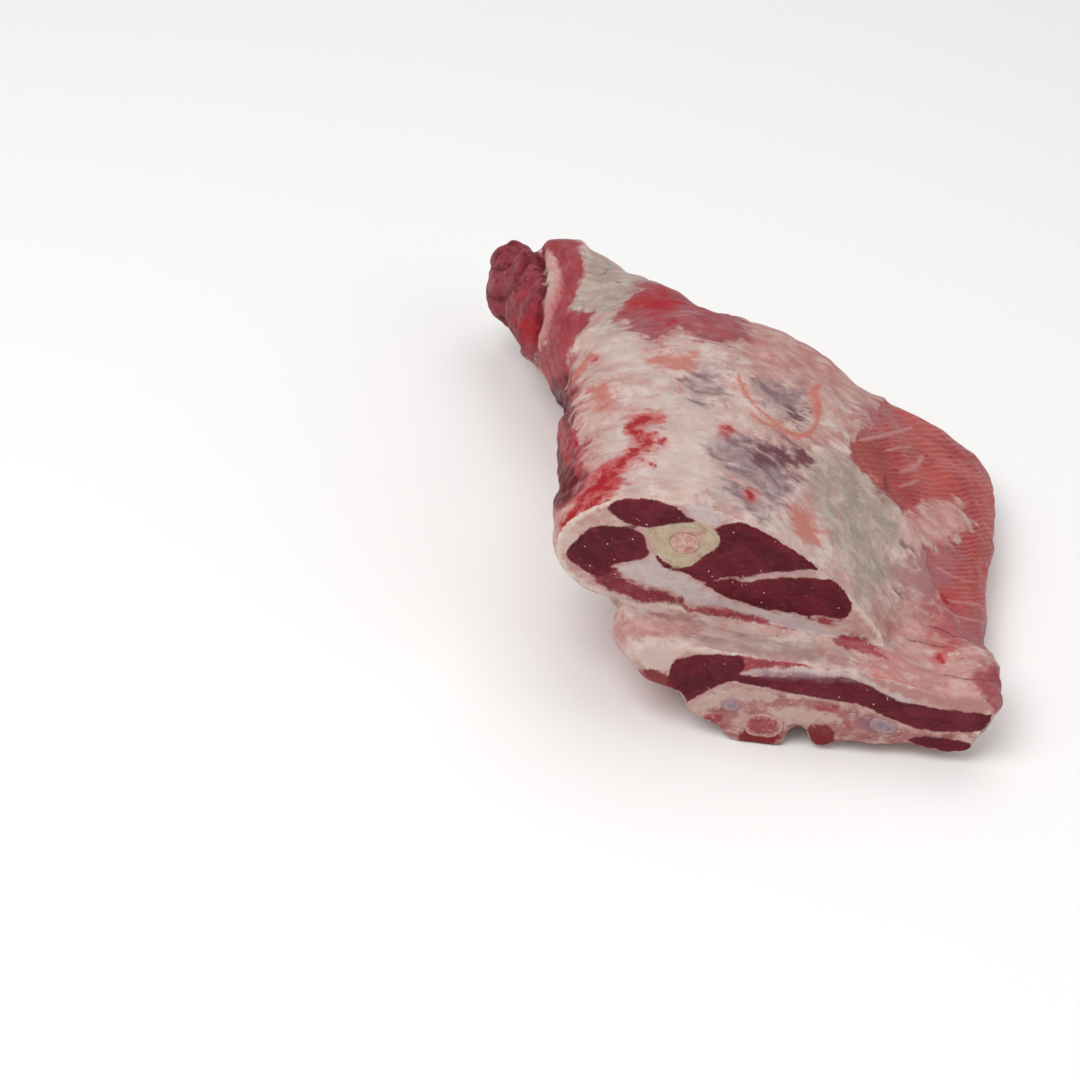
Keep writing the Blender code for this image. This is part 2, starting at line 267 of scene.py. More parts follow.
# %% [markdown]
# Between the muscles lie white hard fat, creamy soft fat, gristle, the bone with its marrow, and
# seams of connective tissue. Along the top of the breast's red strip, a painted sheen of silverskin
# shares the gristle's bluish colour. Blood has soaked into the lower edge of the breast.

# %% Outlines of fat, bone and blood on the sawn faces
CHALK = [
    [(614, 566), (627, 564), (645, 560), (652, 554), (658, 561), (670, 570), (684, 576), (696, 583),
     (706, 590), (722, 599), (739, 605), (756, 609), (770, 613), (790, 615), (806, 620), (823, 626),
     (838, 634), (832, 639), (816, 636), (794, 630), (775, 624), (756, 616), (737, 612), (718, 606),
     (696, 604), (684, 598), (667, 589), (650, 584), (636, 580), (624, 574)],
    [(742, 671), (778, 668), (805, 669), (846, 675), (873, 685), (895, 697), (922, 704), (940, 709),
     (922, 706), (895, 701), (873, 690), (846, 679), (805, 674), (778, 673), (742, 675)],
    [(700, 500), (715, 509), (725, 518), (712, 526), (700, 521), (688, 513)],
]
LOWER_BREAST = [
    [(630, 705), (662, 705), (680, 706), (706, 694), (733, 684), (756, 689), (800, 697), (850, 706),
     (886, 722), (925, 735), (985, 738), (1010, 790), (600, 790)],
]
FLAP = [
    [(624, 640), (660, 644), (684, 652), (674, 660), (670, 668), (655, 671), (640, 666), (628, 656)],
]
BONE = [
    [(645, 529), (655, 529), (668, 526), (684, 524), (698, 524), (710, 527), (718, 534), (720, 542),
     (714, 550), (706, 554), (698, 560), (689, 566), (678, 568), (667, 563), (660, 556), (654, 548),
     (648, 538)],
]
MARROW = [
    [(669, 542), (673, 534), (683, 530), (695, 531), (702, 536), (701, 545), (694, 552), (684, 556),
     (675, 551)],
]
CREAMY_CUT = [
    [(688, 704), (706, 694), (733, 686), (756, 690), (778, 697), (764, 705), (744, 700), (716, 708),
     (704, 718), (690, 714)],
    [(764, 712), (798, 706), (832, 712), (840, 720), (812, 724), (788, 722), (770, 726)],
]
PINK_CUT = [
    [(858, 674), (900, 686), (950, 696), (1012, 698), (1014, 718), (950, 713), (905, 702), (873, 688)],
]
GRISTLE_AND_SHEEN = [
    [(858, 718), (872, 720), (884, 723), (897, 728), (892, 736), (878, 735), (864, 728)],
    [(724, 702), (734, 701), (741, 706), (737, 713), (728, 713), (723, 708)],
    # painted sheen: the bluish gleam of silverskin along the top of the red strip
    [(752, 673), (780, 672), (812, 674), (840, 678), (862, 685), (838, 682), (806, 679), (776, 678)],
]
BLOODY_CUT = [
    [(626, 668), (660, 672), (672, 682), (677, 700), (668, 714), (646, 704), (626, 690)],
    [(740, 735), (760, 728), (782, 732), (770, 746), (748, 748)],
    [(806, 728), (820, 725), (834, 730), (832, 746), (812, 747)],
]
# each line has half its width in pixels
SEAMS = [
    ([(744, 580), (761, 576), (780, 574), (804, 573), (835, 575)], 1.8),
    ([(566, 558), (580, 572), (600, 588), (626, 600), (660, 607)], 0.9),
]

# %% [markdown]
# The outside has bare red muscle where the skin took the fat with it: the striped muscle at the thin
# edge, a band down the arm's left side, the torn end of the shank and a mauve patch.

# %% Outlines of bare muscle
STRIPED = [
    [(870, 415), (869, 425), (854, 437), (851, 447), (854, 458), (860, 471), (876, 485), (892, 499),
     (905, 518), (914, 536), (924, 558), (932, 580), (938, 596), (948, 606), (958, 626), (975, 644),
     (1030, 656), (1030, 450), (985, 425), (940, 405), (900, 385), (885, 398)],
]
BAND = [
    [(536, 250), (548, 228), (566, 228), (576, 243), (583, 261), (584, 273), (579, 287), (574, 299),
     (570, 312), (594, 313), (585, 327), (572, 345), (566, 360), (572, 376), (569, 390), (574, 402),
     (570, 420), (576, 440), (578, 470), (560, 496), (545, 470), (540, 416), (528, 370), (541, 345),
     (547, 320), (552, 303), (558, 289), (560, 275), (556, 262), (548, 256)],
]
TORN = [
    [(460, 300), (470, 240), (505, 225), (538, 228), (543, 262), (547, 290), (544, 310), (535, 345),
     (530, 362), (505, 345), (485, 320)],
]
MAUVE = [
    [(613, 316), (631, 330), (642, 339), (660, 341), (676, 333), (694, 337), (712, 342), (735, 345),
     (752, 338), (740, 322), (720, 312), (699, 300), (680, 292), (662, 288), (640, 290), (622, 306)],
    [(978, 672), (1000, 668), (1006, 690), (1000, 710), (985, 704), (976, 688)],
]

# %% [markdown]
# Over the rest lies fat, in several tints: grey silverskin, cream where it is thick, pink and peach
# where muscle shines through, and dark blue where it is bruised. A mauve-grey painted shade lies on
# the shelf under the arm's rim, beside the valley and on the left flank.

# %% Outlines of fat and bruises
BRUISE = [
    [(762, 388), (785, 382), (801, 390), (806, 403), (801, 418), (788, 410), (772, 402)],
    [(712, 440), (744, 436), (767, 442), (789, 446), (808, 453), (806, 467), (792, 471), (789, 489),
     (778, 502), (758, 492), (738, 480), (722, 462)],
    [(722, 484), (745, 482), (766, 498), (762, 512), (742, 507), (726, 496)],
    [(684, 378), (700, 374), (720, 382), (716, 394), (696, 396)],
]
DARK_BRUISE = [
    [(770, 444), (792, 446), (810, 453), (806, 468), (790, 468), (776, 460)],
    [(794, 408), (806, 412), (807, 420), (796, 418)],
    [(752, 444), (768, 446), (776, 458), (764, 468), (752, 458)],
]
GREYISH = [
    [(821, 452), (854, 463), (881, 485), (900, 512), (903, 534), (892, 550), (887, 572), (870, 589),
     (854, 600), (843, 556), (821, 518), (808, 485), (810, 463)],
    [(588, 232), (610, 240), (640, 262), (668, 300), (645, 300), (620, 325), (600, 329), (596, 314),
     (575, 312), (577, 299), (583, 287), (588, 273), (588, 255)],
]
CREAM = [
    [(600, 455), (620, 410), (655, 392), (700, 402), (742, 430), (722, 446), (728, 476), (742, 502),
     (700, 492), (650, 486), (612, 498), (590, 516)],
    [(608, 332), (650, 346), (690, 342), (720, 352), (700, 372), (664, 390), (624, 372), (600, 352)],
    [(742, 512), (770, 512), (800, 532), (830, 560), (800, 545), (765, 524)],
    [(622, 604), (680, 614), (740, 632), (800, 652), (740, 650), (672, 650), (640, 664), (624, 640)],
    [(826, 520), (850, 530), (866, 560), (846, 566)],
    [(884, 642), (912, 648), (944, 664), (972, 684), (950, 694), (915, 680)],
    [(800, 386), (840, 382), (866, 400), (850, 420), (846, 440), (830, 440), (826, 410)],
]
PINKISH = [
    [(735, 318), (770, 326), (820, 348), (875, 378), (915, 398), (890, 420), (850, 410), (800, 394),
     (750, 366)],
    [(886, 606), (930, 598), (980, 632), (1000, 650), (990, 668), (950, 656), (910, 652), (876, 628)],
    [(556, 360), (574, 352), (588, 372), (584, 410), (594, 446), (610, 480), (596, 506), (566, 534),
     (550, 520), (548, 400)],
    [(880, 650), (930, 654), (975, 660), (1012, 672), (1012, 716), (960, 712), (900, 690), (860, 668)],
    [(700, 306), (740, 320), (800, 345), (850, 372), (840, 384), (790, 362), (740, 342), (700, 330)],
    [(840, 400), (862, 404), (872, 420), (852, 436), (838, 424)],
    [(612, 610), (660, 616), (704, 628), (664, 642), (624, 636)],
    [(740, 432), (790, 436), (830, 430), (840, 442), (806, 450), (760, 442)],
]
# painted shade, mauve-grey: on the shelf under the arm's rim, beside the valley and on the left flank
DUSKY_SHADE = [
    [(690, 638), (730, 642), (780, 646), (830, 656), (860, 670), (820, 664), (770, 660), (710, 652)],
    [(890, 560), (920, 566), (936, 582), (930, 600), (905, 600), (892, 580)],
    [(560, 366), (574, 362), (582, 376), (578, 396), (562, 396)],
]
# The flank is dark muscle, deepened by painted shade on the arm's left side.
FLANK = [
    [(545, 396), (566, 392), (575, 410), (578, 440), (584, 470), (574, 494), (550, 500)],
]
PEACHY = [
    [(650, 358), (662, 349), (680, 352), (697, 352), (695, 367), (685, 377), (673, 374), (662, 367)],
    [(795, 500), (810, 510), (822, 532), (814, 547), (800, 535), (789, 515)],
    [(930, 520), (942, 524), (942, 544), (934, 545)],
    [(596, 388), (612, 393), (618, 405), (604, 410), (592, 402)],
    [(862, 672), (890, 682), (912, 694), (890, 696), (866, 684)],
]

# %% [markdown]
# Blood lies on the fat as smears, thin runs and a weak wash around them. Vessels show orange through
# the membrane, and a few deep holes are painted nearly black, as painted shade in their hollows.

# %% Outlines of blood, holes and vessels
BLOOD = [
    [(636, 670), (662, 676), (676, 690), (678, 714), (656, 710), (636, 692)],
    [(624, 306), (642, 301), (662, 302), (680, 309), (676, 320), (667, 325), (653, 323), (638, 315)],
    [(566, 455), (578, 450), (582, 468), (574, 486), (562, 490), (552, 483), (552, 467)],
    [(534, 308), (542, 316), (540, 334), (537, 352), (528, 341), (526, 320)],
    [(596, 482), (612, 470), (622, 474), (618, 488), (604, 492), (590, 498)],
]
SHADED_HOLES = [
    [(557, 377), (566, 374), (570, 384), (562, 391), (556, 386)],
    [(556, 405), (562, 402), (566, 410), (560, 416), (555, 412)],
]
BLOOD_WASH = [
    [(562, 524), (572, 502), (590, 482), (612, 466), (632, 452), (640, 458), (626, 474), (606, 500),
     (586, 516), (570, 530)],
    [(626, 418), (646, 412), (664, 418), (662, 428), (648, 444), (632, 440)],
    [(562, 350), (574, 356), (579, 392), (580, 430), (580, 470), (572, 500), (552, 500), (546, 400)],
    [(948, 590), (962, 600), (966, 640), (950, 650), (930, 640), (934, 604)],
]
BLOOD_LINES = [
    ([(660, 420), (650, 418), (641, 421)], 2.4),
    ([(643, 420), (634, 425), (632, 432), (639, 437)], 4.2),
    ([(638, 436), (648, 438), (654, 437)], 2.6),
    ([(662, 442), (652, 443), (640, 450)], 1.9),
    ([(650, 446), (634, 455), (622, 465)], 2.2),
    ([(632, 452), (618, 466), (604, 478)], 1.7),
    ([(620, 464), (604, 482), (590, 494)], 2.8),
    ([(606, 476), (588, 496), (574, 510), (564, 524)], 2.2),
    ([(612, 484), (596, 500), (584, 508)], 1.8),
    ([(596, 486), (582, 500), (569, 520)], 3.0),
    ([(642, 461), (654, 464)], 0.9),
    ([(592, 516), (606, 503)], 1.6),
    ([(938, 657), (941, 660)], 2.2),
    ([(750, 493), (753, 496)], 2.0),
    ([(594, 361), (597, 358)], 1.0),
    ([(720, 428), (731, 429)], 0.8),
    ([(944, 597), (950, 600)], 2.0),
    ([(557, 420), (562, 440), (568, 460)], 2.2),
    ([(572, 430), (577, 452), (580, 470)], 1.6),
]
ORANGE_LINES = [
    ([(738, 380), (748, 397), (762, 412), (776, 423)], 1.3),
    ([(774, 422), (786, 431), (800, 436), (811, 432)], 2.1),
    ([(811, 432), (818, 420), (817, 404), (811, 394), (815, 390)], 2.0),
    ([(590, 356), (583, 366), (577, 380)], 2.4),
    ([(672, 300), (700, 307), (728, 314)], 1.2),
    ([(786, 430), (768, 425), (752, 414)], 1.0),
]

# %% [markdown]
# Some outlines are there for the relief: clefts and knobs of the torn end, creases below the arm and
# a low bulge. The clefts and creases are also painted darker, as painted shade in them. Others are
# veils of membrane, and fine pale and dark lines.

# %% Outlines of relief, veils and fine lines
SHADED_GROOVES = [
    ([(538, 246), (541, 262), (545, 285), (541, 305), (532, 322), (533, 350)], 2.4),
    ([(488, 292), (500, 300), (513, 292), (524, 276), (530, 262)], 1.8),
    ([(492, 268), (506, 272), (518, 268)], 1.1),
    ([(500, 318), (510, 330), (522, 346)], 1.5),
    ([(508, 252), (522, 257), (532, 263)], 1.1),
]
SHADED_CREASES = [
    ([(606, 598), (640, 609), (680, 617), (720, 626), (760, 637), (790, 645)], 1.2),
    ([(552, 352), (556, 380), (552, 410)], 1.4),
]
WEDGE = [
    [(836, 628), (850, 631), (862, 637), (877, 646), (893, 661), (874, 658), (856, 653), (840, 648),
     (832, 640)],
]
BULGE = [
    [(632, 282), (662, 280), (700, 292), (728, 308), (744, 328), (710, 334), (670, 326), (640, 318)],
]
SHADED = [
    [(854, 442), (868, 434), (884, 446), (898, 480), (904, 508), (890, 500), (872, 478), (860, 464)],
    [(880, 470), (892, 468), (896, 490), (888, 496)],
]
PALE_PATCH = [
    [(903, 520), (917, 510), (933, 501), (948, 496), (961, 499), (963, 509), (972, 518), (968, 530),
     (950, 540), (934, 548), (918, 552), (906, 540)],
]
VEIL = [
    [(912, 546), (930, 544), (952, 538), (958, 552), (954, 572), (948, 590), (946, 600), (975, 614),
     (985, 640), (960, 644), (925, 606), (908, 572)],
    [(855, 410), (880, 404), (892, 414), (872, 430), (856, 432)],
    [(935, 596), (962, 604), (986, 622), (984, 650), (950, 640)],
]
NOTCH = [([(537, 234), (538, 244), (540, 258)], 5.0)]
LOBES = [
    [(542, 244), (556, 234), (578, 236), (586, 250), (575, 262), (556, 258), (546, 262)],
    [(484, 292), (492, 262), (508, 248), (528, 252), (530, 268), (512, 284), (498, 300)],
]
PALE_LINES = [
    ([(549, 259), (556, 275), (558, 289), (551, 303), (546, 320), (541, 335)], 4.2),
    ([(590, 329), (598, 322), (604, 316)], 1.4),
    ([(655, 340), (668, 339), (680, 333), (692, 336)], 1.2),
    ([(862, 440), (892, 434), (912, 426)], 1.5),
    ([(888, 450), (912, 446)], 1.0),
    ([(905, 470), (917, 466), (923, 456)], 2.2),
    ([(902, 486), (918, 480)], 1.6),
    ([(951, 599), (980, 604)], 1.2),
    ([(908, 604), (934, 606), (962, 616), (990, 624)], 0.9),
    ([(880, 622), (905, 636), (932, 640), (960, 650)], 0.8),
    ([(866, 640), (890, 652), (920, 664)], 0.9),
    ([(940, 566), (956, 576), (976, 580)], 0.8),
    ([(876, 650), (905, 668), (940, 682)], 1.0),
    ([(896, 646), (930, 662), (968, 676)], 0.9),
    ([(860, 664), (890, 678), (930, 694)], 0.8),
]
# Some dark lines are painted shadow: in a cleft of the torn end and in a hollow of the striped muscle.
DARK_LINES = [
    ([(534, 320), (533, 338)], 1.3),
    ([(589, 272), (600, 275), (606, 270)], 0.9),
    ([(617, 282), (621, 283)], 0.9),
    ([(572, 455), (576, 459)], 2.0),
    ([(910, 640), (928, 645), (944, 648)], 0.9),
    ([(901, 543), (904, 547)], 2.2),
    ([(910, 549), (912, 552)], 1.4),
    ([(922, 546), (924, 549)], 1.4),
    ([(886, 478), (888, 488)], 1.8),
    ([(944, 676), (966, 680), (990, 682)], 0.7),
    ([(930, 626), (950, 632), (972, 640)], 0.7),
    ([(894, 590), (900, 598)], 1.2),
]

# %% [markdown]
# For each point of the skin, the distance to an outline is stored with the mesh, in millimetres. A
# material can then draw a sharp, uneven border between the points of the net, where a colour
# painted on the points would show its squares. What the camera can't see takes the value of the
# nearest point that it can, less the way to it, so that a muscle runs on round the edge and ends.

# %% Distances to loops and lines
OUTSIDE = -30.0
LOOP_STEPS = 3
SHORTEST = 1e-9


def curve_through(points, closed):
    """A smooth line through the points, with LOOP_STEPS pieces in each span."""
    points = np.array(points, float)
    count = len(points)
    smooth = []
    for k in range(count if closed else count - 1):
        around = np.arange(k - 1, k + 3)
        around = around % count if closed else np.clip(around, 0, count - 1)
        before, start, end, after = points[around]
        for u in np.arange(LOOP_STEPS) / LOOP_STEPS:
            smooth.append(0.5 * (2 * start + (end - before) * u
                                 + (2 * before - 5 * start + 4 * end - after) * u**2
                                 + (3 * start - before - 3 * end + after) * u**3))
    return np.array(smooth if closed else smooth + [points[-1]])


def offsets(spots, start, end):
    """From each spot to a straight piece: the distance in pixels, negative on its left."""
    along = end - start
    share = np.clip((spots - start) @ along / max(along @ along, SHORTEST), 0, 1)
    gap = spots - start - share[:, None] * along
    side = along[0] * gap[:, 1] - along[1] * gap[:, 0]
    return np.linalg.norm(gap, axis=1) * np.where(side < 0, -1, 1)


def depth_in(spots, loops):
    """How deep each spot lies inside the deepest of the loops, in millimetres."""
    depth = np.full(len(spots), OUTSIDE)
    for loop in loops:
        line = curve_through(loop, True)
        gap = np.full(len(spots), np.inf)
        inside = np.zeros(len(spots), bool)
        for start, end in zip(line, np.roll(line, -1, axis=0)):
            gap = np.minimum(gap, abs(offsets(spots, start, end)))
            if start[1] != end[1]:
                between = (start[1] > spots[:, 1]) != (end[1] > spots[:, 1])
                crossing = start[0] + (spots[:, 1] - start[1]) * (end[0] - start[0]) / (end[1] - start[1])
                inside ^= between & (spots[:, 0] < crossing)
        depth = np.maximum(depth, np.where(inside, gap, -gap) * MM_PER_PIXEL)
    return depth


def beside(spots, lines):
    """For the nearest line: the depth inside it in mm, and the distance from it in half widths.

    The second has a sign, one on each side, so that a line thinner than the net still crosses it."""
    near = np.full(len(spots), OUTSIDE)
    side = np.full(len(spots), -OUTSIDE)
    for points, half_width in lines:
        line = curve_through(points, False)
        for start, end in zip(line[:-1], line[1:]):
            gap = offsets(spots, start, end)
            closer = abs(gap) / half_width < abs(side)
            side[closer] = gap[closer] / half_width
            near[closer] = (half_width - abs(gap[closer])) * MM_PER_PIXEL
    return near, side


# %% [markdown]
# A point is seen if it faces the camera and no other part of the meat stands before it. That is
# tested with a ray from each point. Every other point gets the nearest seen one as its stand-in.

# %% What the camera sees
CLEARANCE = 0.6 * MM
tree = BVHTree.FromPolygons([Vector(p) for p in places], [tuple(f.vertices) for f in skin.polygons])
seen = np.zeros(len(places), bool)
for k in np.flatnonzero(((np.array(camera_place) - places) * facing).sum(axis=1) > 0):
    start = Vector(places[k] + facing[k] * CLEARANCE)
    seen[k] = tree.ray_cast(start, camera_place - start)[0] is None


def nearest(targets, points):
    """For each point, which target is nearest, and how far it is in millimetres."""
    tree = KDTree(len(targets))
    for k, target in enumerate(targets):
        tree.insert(target, k)
    tree.balance()
    found = [tree.find(point)[1:] for point in points]
    return np.array([k for k, _ in found]), np.array([way for _, way in found]) / MM


shown = np.flatnonzero(seen)
stand_in, way_there = nearest(places[shown], places)
stand_in = shown[stand_in]
print("the camera sees", len(shown), "of", len(places), "points")

# %% [markdown]
# The outlines on the sawn faces hold only there, and those of the outside hold for the rest. Away
# from what the camera sees, an area loses DEPTH_LOST of depth with each millimetre.

# %% Depths in all areas
DEPTH_LOST = 0.6
SAWN_LIMIT = -1.0
HALO_MM = 1.6
RIM_MM = 2.2

spots = pixels_of(places)
ends_differ = edges[sawn[edges[:, 0]] != sawn[edges[:, 1]]]
border = places[ends_differ].mean(axis=1)
_, from_border = nearest(border, places)
sawn_depth = np.where(sawn, from_border, -from_border)
areas = {"sawn": sawn_depth}
for name, loops in {
    "lean": LEAN, "pale_lean": PALE_LEAN, "chalk": CHALK, "gristle_and_sheen": GRISTLE_AND_SHEEN,
    "lower_breast": LOWER_BREAST, "bloody_cut": BLOODY_CUT, "flap": FLAP, "bone": BONE,
    "creamy_cut": CREAMY_CUT, "pink_cut": PINK_CUT, "strip": STRIP,
}.items():
    areas[name] = np.where(sawn_depth > SAWN_LIMIT, depth_in(spots, loops), OUTSIDE)
for name, loops in {
    "striped": STRIPED, "band": BAND, "torn": TORN, "mauve": MAUVE, "bruise": BRUISE,
    "dark_bruise": DARK_BRUISE, "greyish": GREYISH, "cream": CREAM, "pinkish": PINKISH,
    "peachy": PEACHY, "blood": BLOOD, "shaded_holes": SHADED_HOLES, "dusky_shade": DUSKY_SHADE, "flank": FLANK,
    "blood_wash": BLOOD_WASH, "lobes": LOBES, "veil": VEIL, "bulge": BULGE, "shaded": SHADED,
    "wedge": WEDGE, "pale_patch": PALE_PATCH,
}.items():
    areas[name] = depth_in(spots, loops)[stand_in] - way_there * DEPTH_LOST
for name, lines in {
    "seam": SEAMS, "blood_line": BLOOD_LINES, "orange_line": ORANGE_LINES,
    "pale_line": PALE_LINES, "dark_line": DARK_LINES, "shaded_groove": SHADED_GROOVES, "shaded_crease": SHADED_CREASES,
    "notch": NOTCH,
}.items():
    near, side = beside(spots, lines)
    areas[name] = near[stand_in] - way_there
    areas[name + "_side"] = side[stand_in]
areas["blood_halo"] = areas["blood_line"] + HALO_MM
areas["inner_cut"] = sawn_depth - RIM_MM
areas["picture_row"] = spots[:, 1] * MM_PER_PIXEL
print("areas:", ", ".join(areas))

# %% [markdown]
# Relief. Fat lies on the muscle like thick cloth, so its torn border stands a little above the bare
# muscle. Slow swellings break up the even curves of the solid. Each moves the points along their
# normals by a height in millimetres: real shape, which shows from every side.

# %% Random waves and soft steps
NOISE_GAIN = 1.6


def waves(size_mm, seed, stretch=(1, 1, 1)):
    """A smooth random height from about -1 to 1 at each point, which changes over size_mm."""
    shift = Vector((seed * 7.3, seed * 3.1, seed * 5.7))
    where = places * np.array(stretch) / (size_mm * MM)
    return np.array([noise.noise(Vector(place) + shift) for place in where]) * NOISE_GAIN


def step(depth, width):
    """0 outside a border and 1 inside it, smooth over a width in millimetres."""
    share = np.clip(depth / width + 0.5, 0, 1)
    return share * share * (3 - 2 * share)


# %% [markdown]
# Some areas have a ragged border and some a soft one. Two tables give their heights. On the back,
# which the photograph doesn't show, patches of bare muscle come and go as noise has it.

# %% Relief of the skin
ALONG_X = (0.35, 1, 1)
WELL_HIDDEN_MM = 15
NO_BARE_MM = 8
CUT_EDGE_MM = 1.6
# area, height in mm, width of its border in mm
RAGGED_RELIEF = [("striped", -1.0, 1.6), ("pale_patch", 1.0, 3.0), ("band", -0.9, 1.6)]
SOFT_RELIEF = [
    ("shaded_groove", -2.4, 2.6), ("shaded_crease", -1.6, 4), ("pale_line", 0.9, 2.0), ("orange_line", 0.6, 2.4),
    ("dark_line", -0.5, 1.6), ("shaded_holes", -3.0, 3.0), ("bruise", -2.0, 12.0), ("mauve", 0.8, 6.0),
    ("bulge", 3.0, 12.0), ("cream", 0.5, 10.0),
]

hidden = np.clip(way_there / WELL_HIDDEN_MM, 0, 1)
bare_behind = waves(40, 4) * 14 - 3
bare_behind = bare_behind * hidden - NO_BARE_MM * (1 - hidden)
areas["striped"] = np.maximum(areas["striped"], np.where(hidden > 0, bare_behind, OUTSIDE))
off_cut = 1 - step(areas["sawn"], CUT_EDGE_MM)
height = off_cut * (waves(34, 1) * 1.3 + waves(15, 2, ALONG_X) * 1.1 + waves(6, 3, ALONG_X) * 0.5)
ragged = waves(5, 5) * 1.2
for name, rise, border_mm in RAGGED_RELIEF:
    height += rise * step(areas[name] + ragged, border_mm) * off_cut
height += step(areas["torn"], 4) * (waves(13, 6, (1, 1, 0.5)) * 3.0 + waves(6, 7, (1, 1, 0.4)) * 0.9)
height += 3.2 * step(areas["lobes"], 6)
height -= 6.0 * step(areas["notch"], 5)
for name, rise, border_mm in SOFT_RELIEF:
    height += rise * step(areas[name], border_mm) * off_cut
height += 0.8 * step(areas["pinkish"], 8.0) * waves(5, 9, ALONG_X) * off_cut
height += (1 - off_cut) * (waves(7, 8) * 0.16 + 0.3 * step(areas["lean"], 1.2))
print("relief from", round(height.min(), 1), "to", round(height.max(), 1), "mm")

# %% [markdown]
# The bones lie in the skin's sawn faces. Where they do, the skin is pressed in by a little over a
# millimetre, so that the bone's own piece shows. The points at the floor stay above it.

# %% Room for the bones, and the floor
BONE_ROOM = 1.3 * MM
PROBE = 3 * MM
FLOOR_GAP = 0.3 * MM

for name in BONE_NODES:
    bone = merged(name)
    tree = BVHTree.FromBMesh(bone)
    for k in np.flatnonzero(sawn):
        inside = Vector(places[k]) + Vector((0, PROBE, 0))
        spot, normal, _, _ = tree.find_nearest(inside)
        if (inside - spot).dot(normal) < 0 and (on_breast_cut[k] or areas["bone"][k] > 0):
            height[k] = -BONE_ROOM / MM
    bone.free()
moved = relaxed(places + facing * (height * MM)[:, None], edges)
moved[:, 2] = np.maximum(moved[:, 2], np.minimum(places[:, 2], FLOOR_GAP))
move_to(skin, moved)
for name, values in areas.items():
    skin.attributes.new(name, "FLOAT", "POINT").data.foreach_set("value", values.astype(np.float32))
skin.shade_smooth()

# %% [markdown]
# Colours are read as a screen shows them, so one function turns a hex value into the linear light
# that a shader needs. Another adds a node with its settings and its links.

# %% Colour and node helpers


def linear(hex_colour):
    """An sRGB hex colour as linear red, green, blue and alpha."""
    channels = [int(hex_colour[k : k + 2], 16) / 255 for k in (1, 3, 5)]
    return [c / 12.92 if c <= 0.04045 else ((c + 0.055) / 1.055) ** 2.4 for c in channels] + [1.0]


def add(tree, kind, inputs, **settings):
    """A new node. Its inputs are values, or sockets to link from."""
    made = tree.nodes.new(kind)
    for name, value in settings.items():
        setattr(made, name, value)
    for name, value in inputs.items():
        if isinstance(value, bpy.types.NodeSocket):
            tree.links.new(value, made.inputs[name])
        else:
            made.inputs[name].default_value = value
    return made


def new_material(name):
    material = bpy.data.materials.new(name)
    material.use_nodes = True
    material.node_tree.nodes.clear()
    return material, material.node_tree


# %% [markdown]
# Raw meat is never one colour. Each tissue starts from one colour, with clouds of others over it.
# On the fat and the striped muscle the clouds are drawn out from side to side, as the fibres run.

# %% Mottled colours


def mottled(tree, where, base, clouds):
    """A base colour under clouds: (colour, size in mm, start, full, strength)."""
    colour = linear(base) if isinstance(base, str) else base
    for hex_colour, size_mm, start, full, strength in clouds:
        size = {"Scale": 1 / (size_mm * MM), "Detail": 4.0, "Roughness": 0.64}
        cloud = add(tree, "ShaderNodeTexNoise", {"Vector": where, **size})
        limits = {"From Min": start, "From Max": full, "To Max": strength}
        share = add(tree, "ShaderNodeMapRange", {"Value": cloud.outputs["Fac"], **limits})
        mix = {0: share.outputs[0], 6: colour, 7: linear(hex_colour)}
        colour = add(tree, "ShaderNodeMix", mix, data_type="RGBA").outputs[2]
    return colour


# %% [markdown]
# raw_mutton is one finish for the whole skin: moist, slightly see-through tissue. What it gives the
# eye is a pale, uneven ground of fat with wet red and purple muscle in it. It is one material because
# fat and muscle pass into each other. Its noises are swirled, so that no cloud lies square.

# %% Where the noises lie
WARP = 9 * MM

raw_mutton, tree = new_material("raw_mutton")
plain = add(tree, "ShaderNodeTexCoord", {}).outputs["Object"]
swirl = add(tree, "ShaderNodeTexNoise", {"Vector": plain, "Scale": 1 / (24 * MM), "Detail": 3.0})
swirl = add(tree, "ShaderNodeVectorMath", {
    0: swirl.outputs["Color"], 1: (WARP, WARP, WARP), 2: plain,
}, operation="MULTIPLY_ADD").outputs[0]
drawn_out = add(tree, "ShaderNodeMapping", {"Vector": swirl, "Scale": (0.6, 1.0, 0.9)}).outputs[0]
wispy = add(tree, "ShaderNodeMapping", {"Vector": swirl, "Scale": (0.22, 1.0, 0.9)}).outputs[0]
lengthwise = add(tree, "ShaderNodeMapping", {"Vector": plain, "Scale": (1.0, 0.3, 1.0)}).outputs[0]

# %% [markdown]
# The tissues of the outside: creamy fat with wisps of membrane, pink fat where muscle shines through,
# bluish bruised fat, grey silverskin with a dull gleam, and lean that has dried to mauve.

# %% Fat, bruise, silverskin and bare muscle
fat = mottled(tree, swirl, "#c0a097", [
    ("#b5837d", 22, 0.44, 0.62, 0.8),
    ("#a08f8b", 16, 0.50, 0.66, 0.65),
    ("#d2c1b8", 10, 0.47, 0.62, 0.75),
    ("#ab6c68", 9, 0.54, 0.70, 0.6),
    ("#b08a84", 3.2, 0.50, 0.70, 0.5),
    ("#9c4a4a", 4.5, 0.62, 0.76, 0.6),
    # the finest pale specks are painted highlights of the wet fat
    ("#d9cac1", 1.6, 0.54, 0.72, 0.35),
])
fat = mottled(tree, wispy, fat, [("#dccec5", 2.2, 0.54, 0.74, 0.3), ("#a87a76", 3.0, 0.57, 0.74, 0.3)])
pink_fat = mottled(tree, drawn_out, "#ac6d69", [
    ("#c59d93", 8, 0.47, 0.62, 0.85),
    ("#984e4e", 6, 0.53, 0.68, 0.7),
    ("#cdb1a5", 3, 0.54, 0.70, 0.55),
])
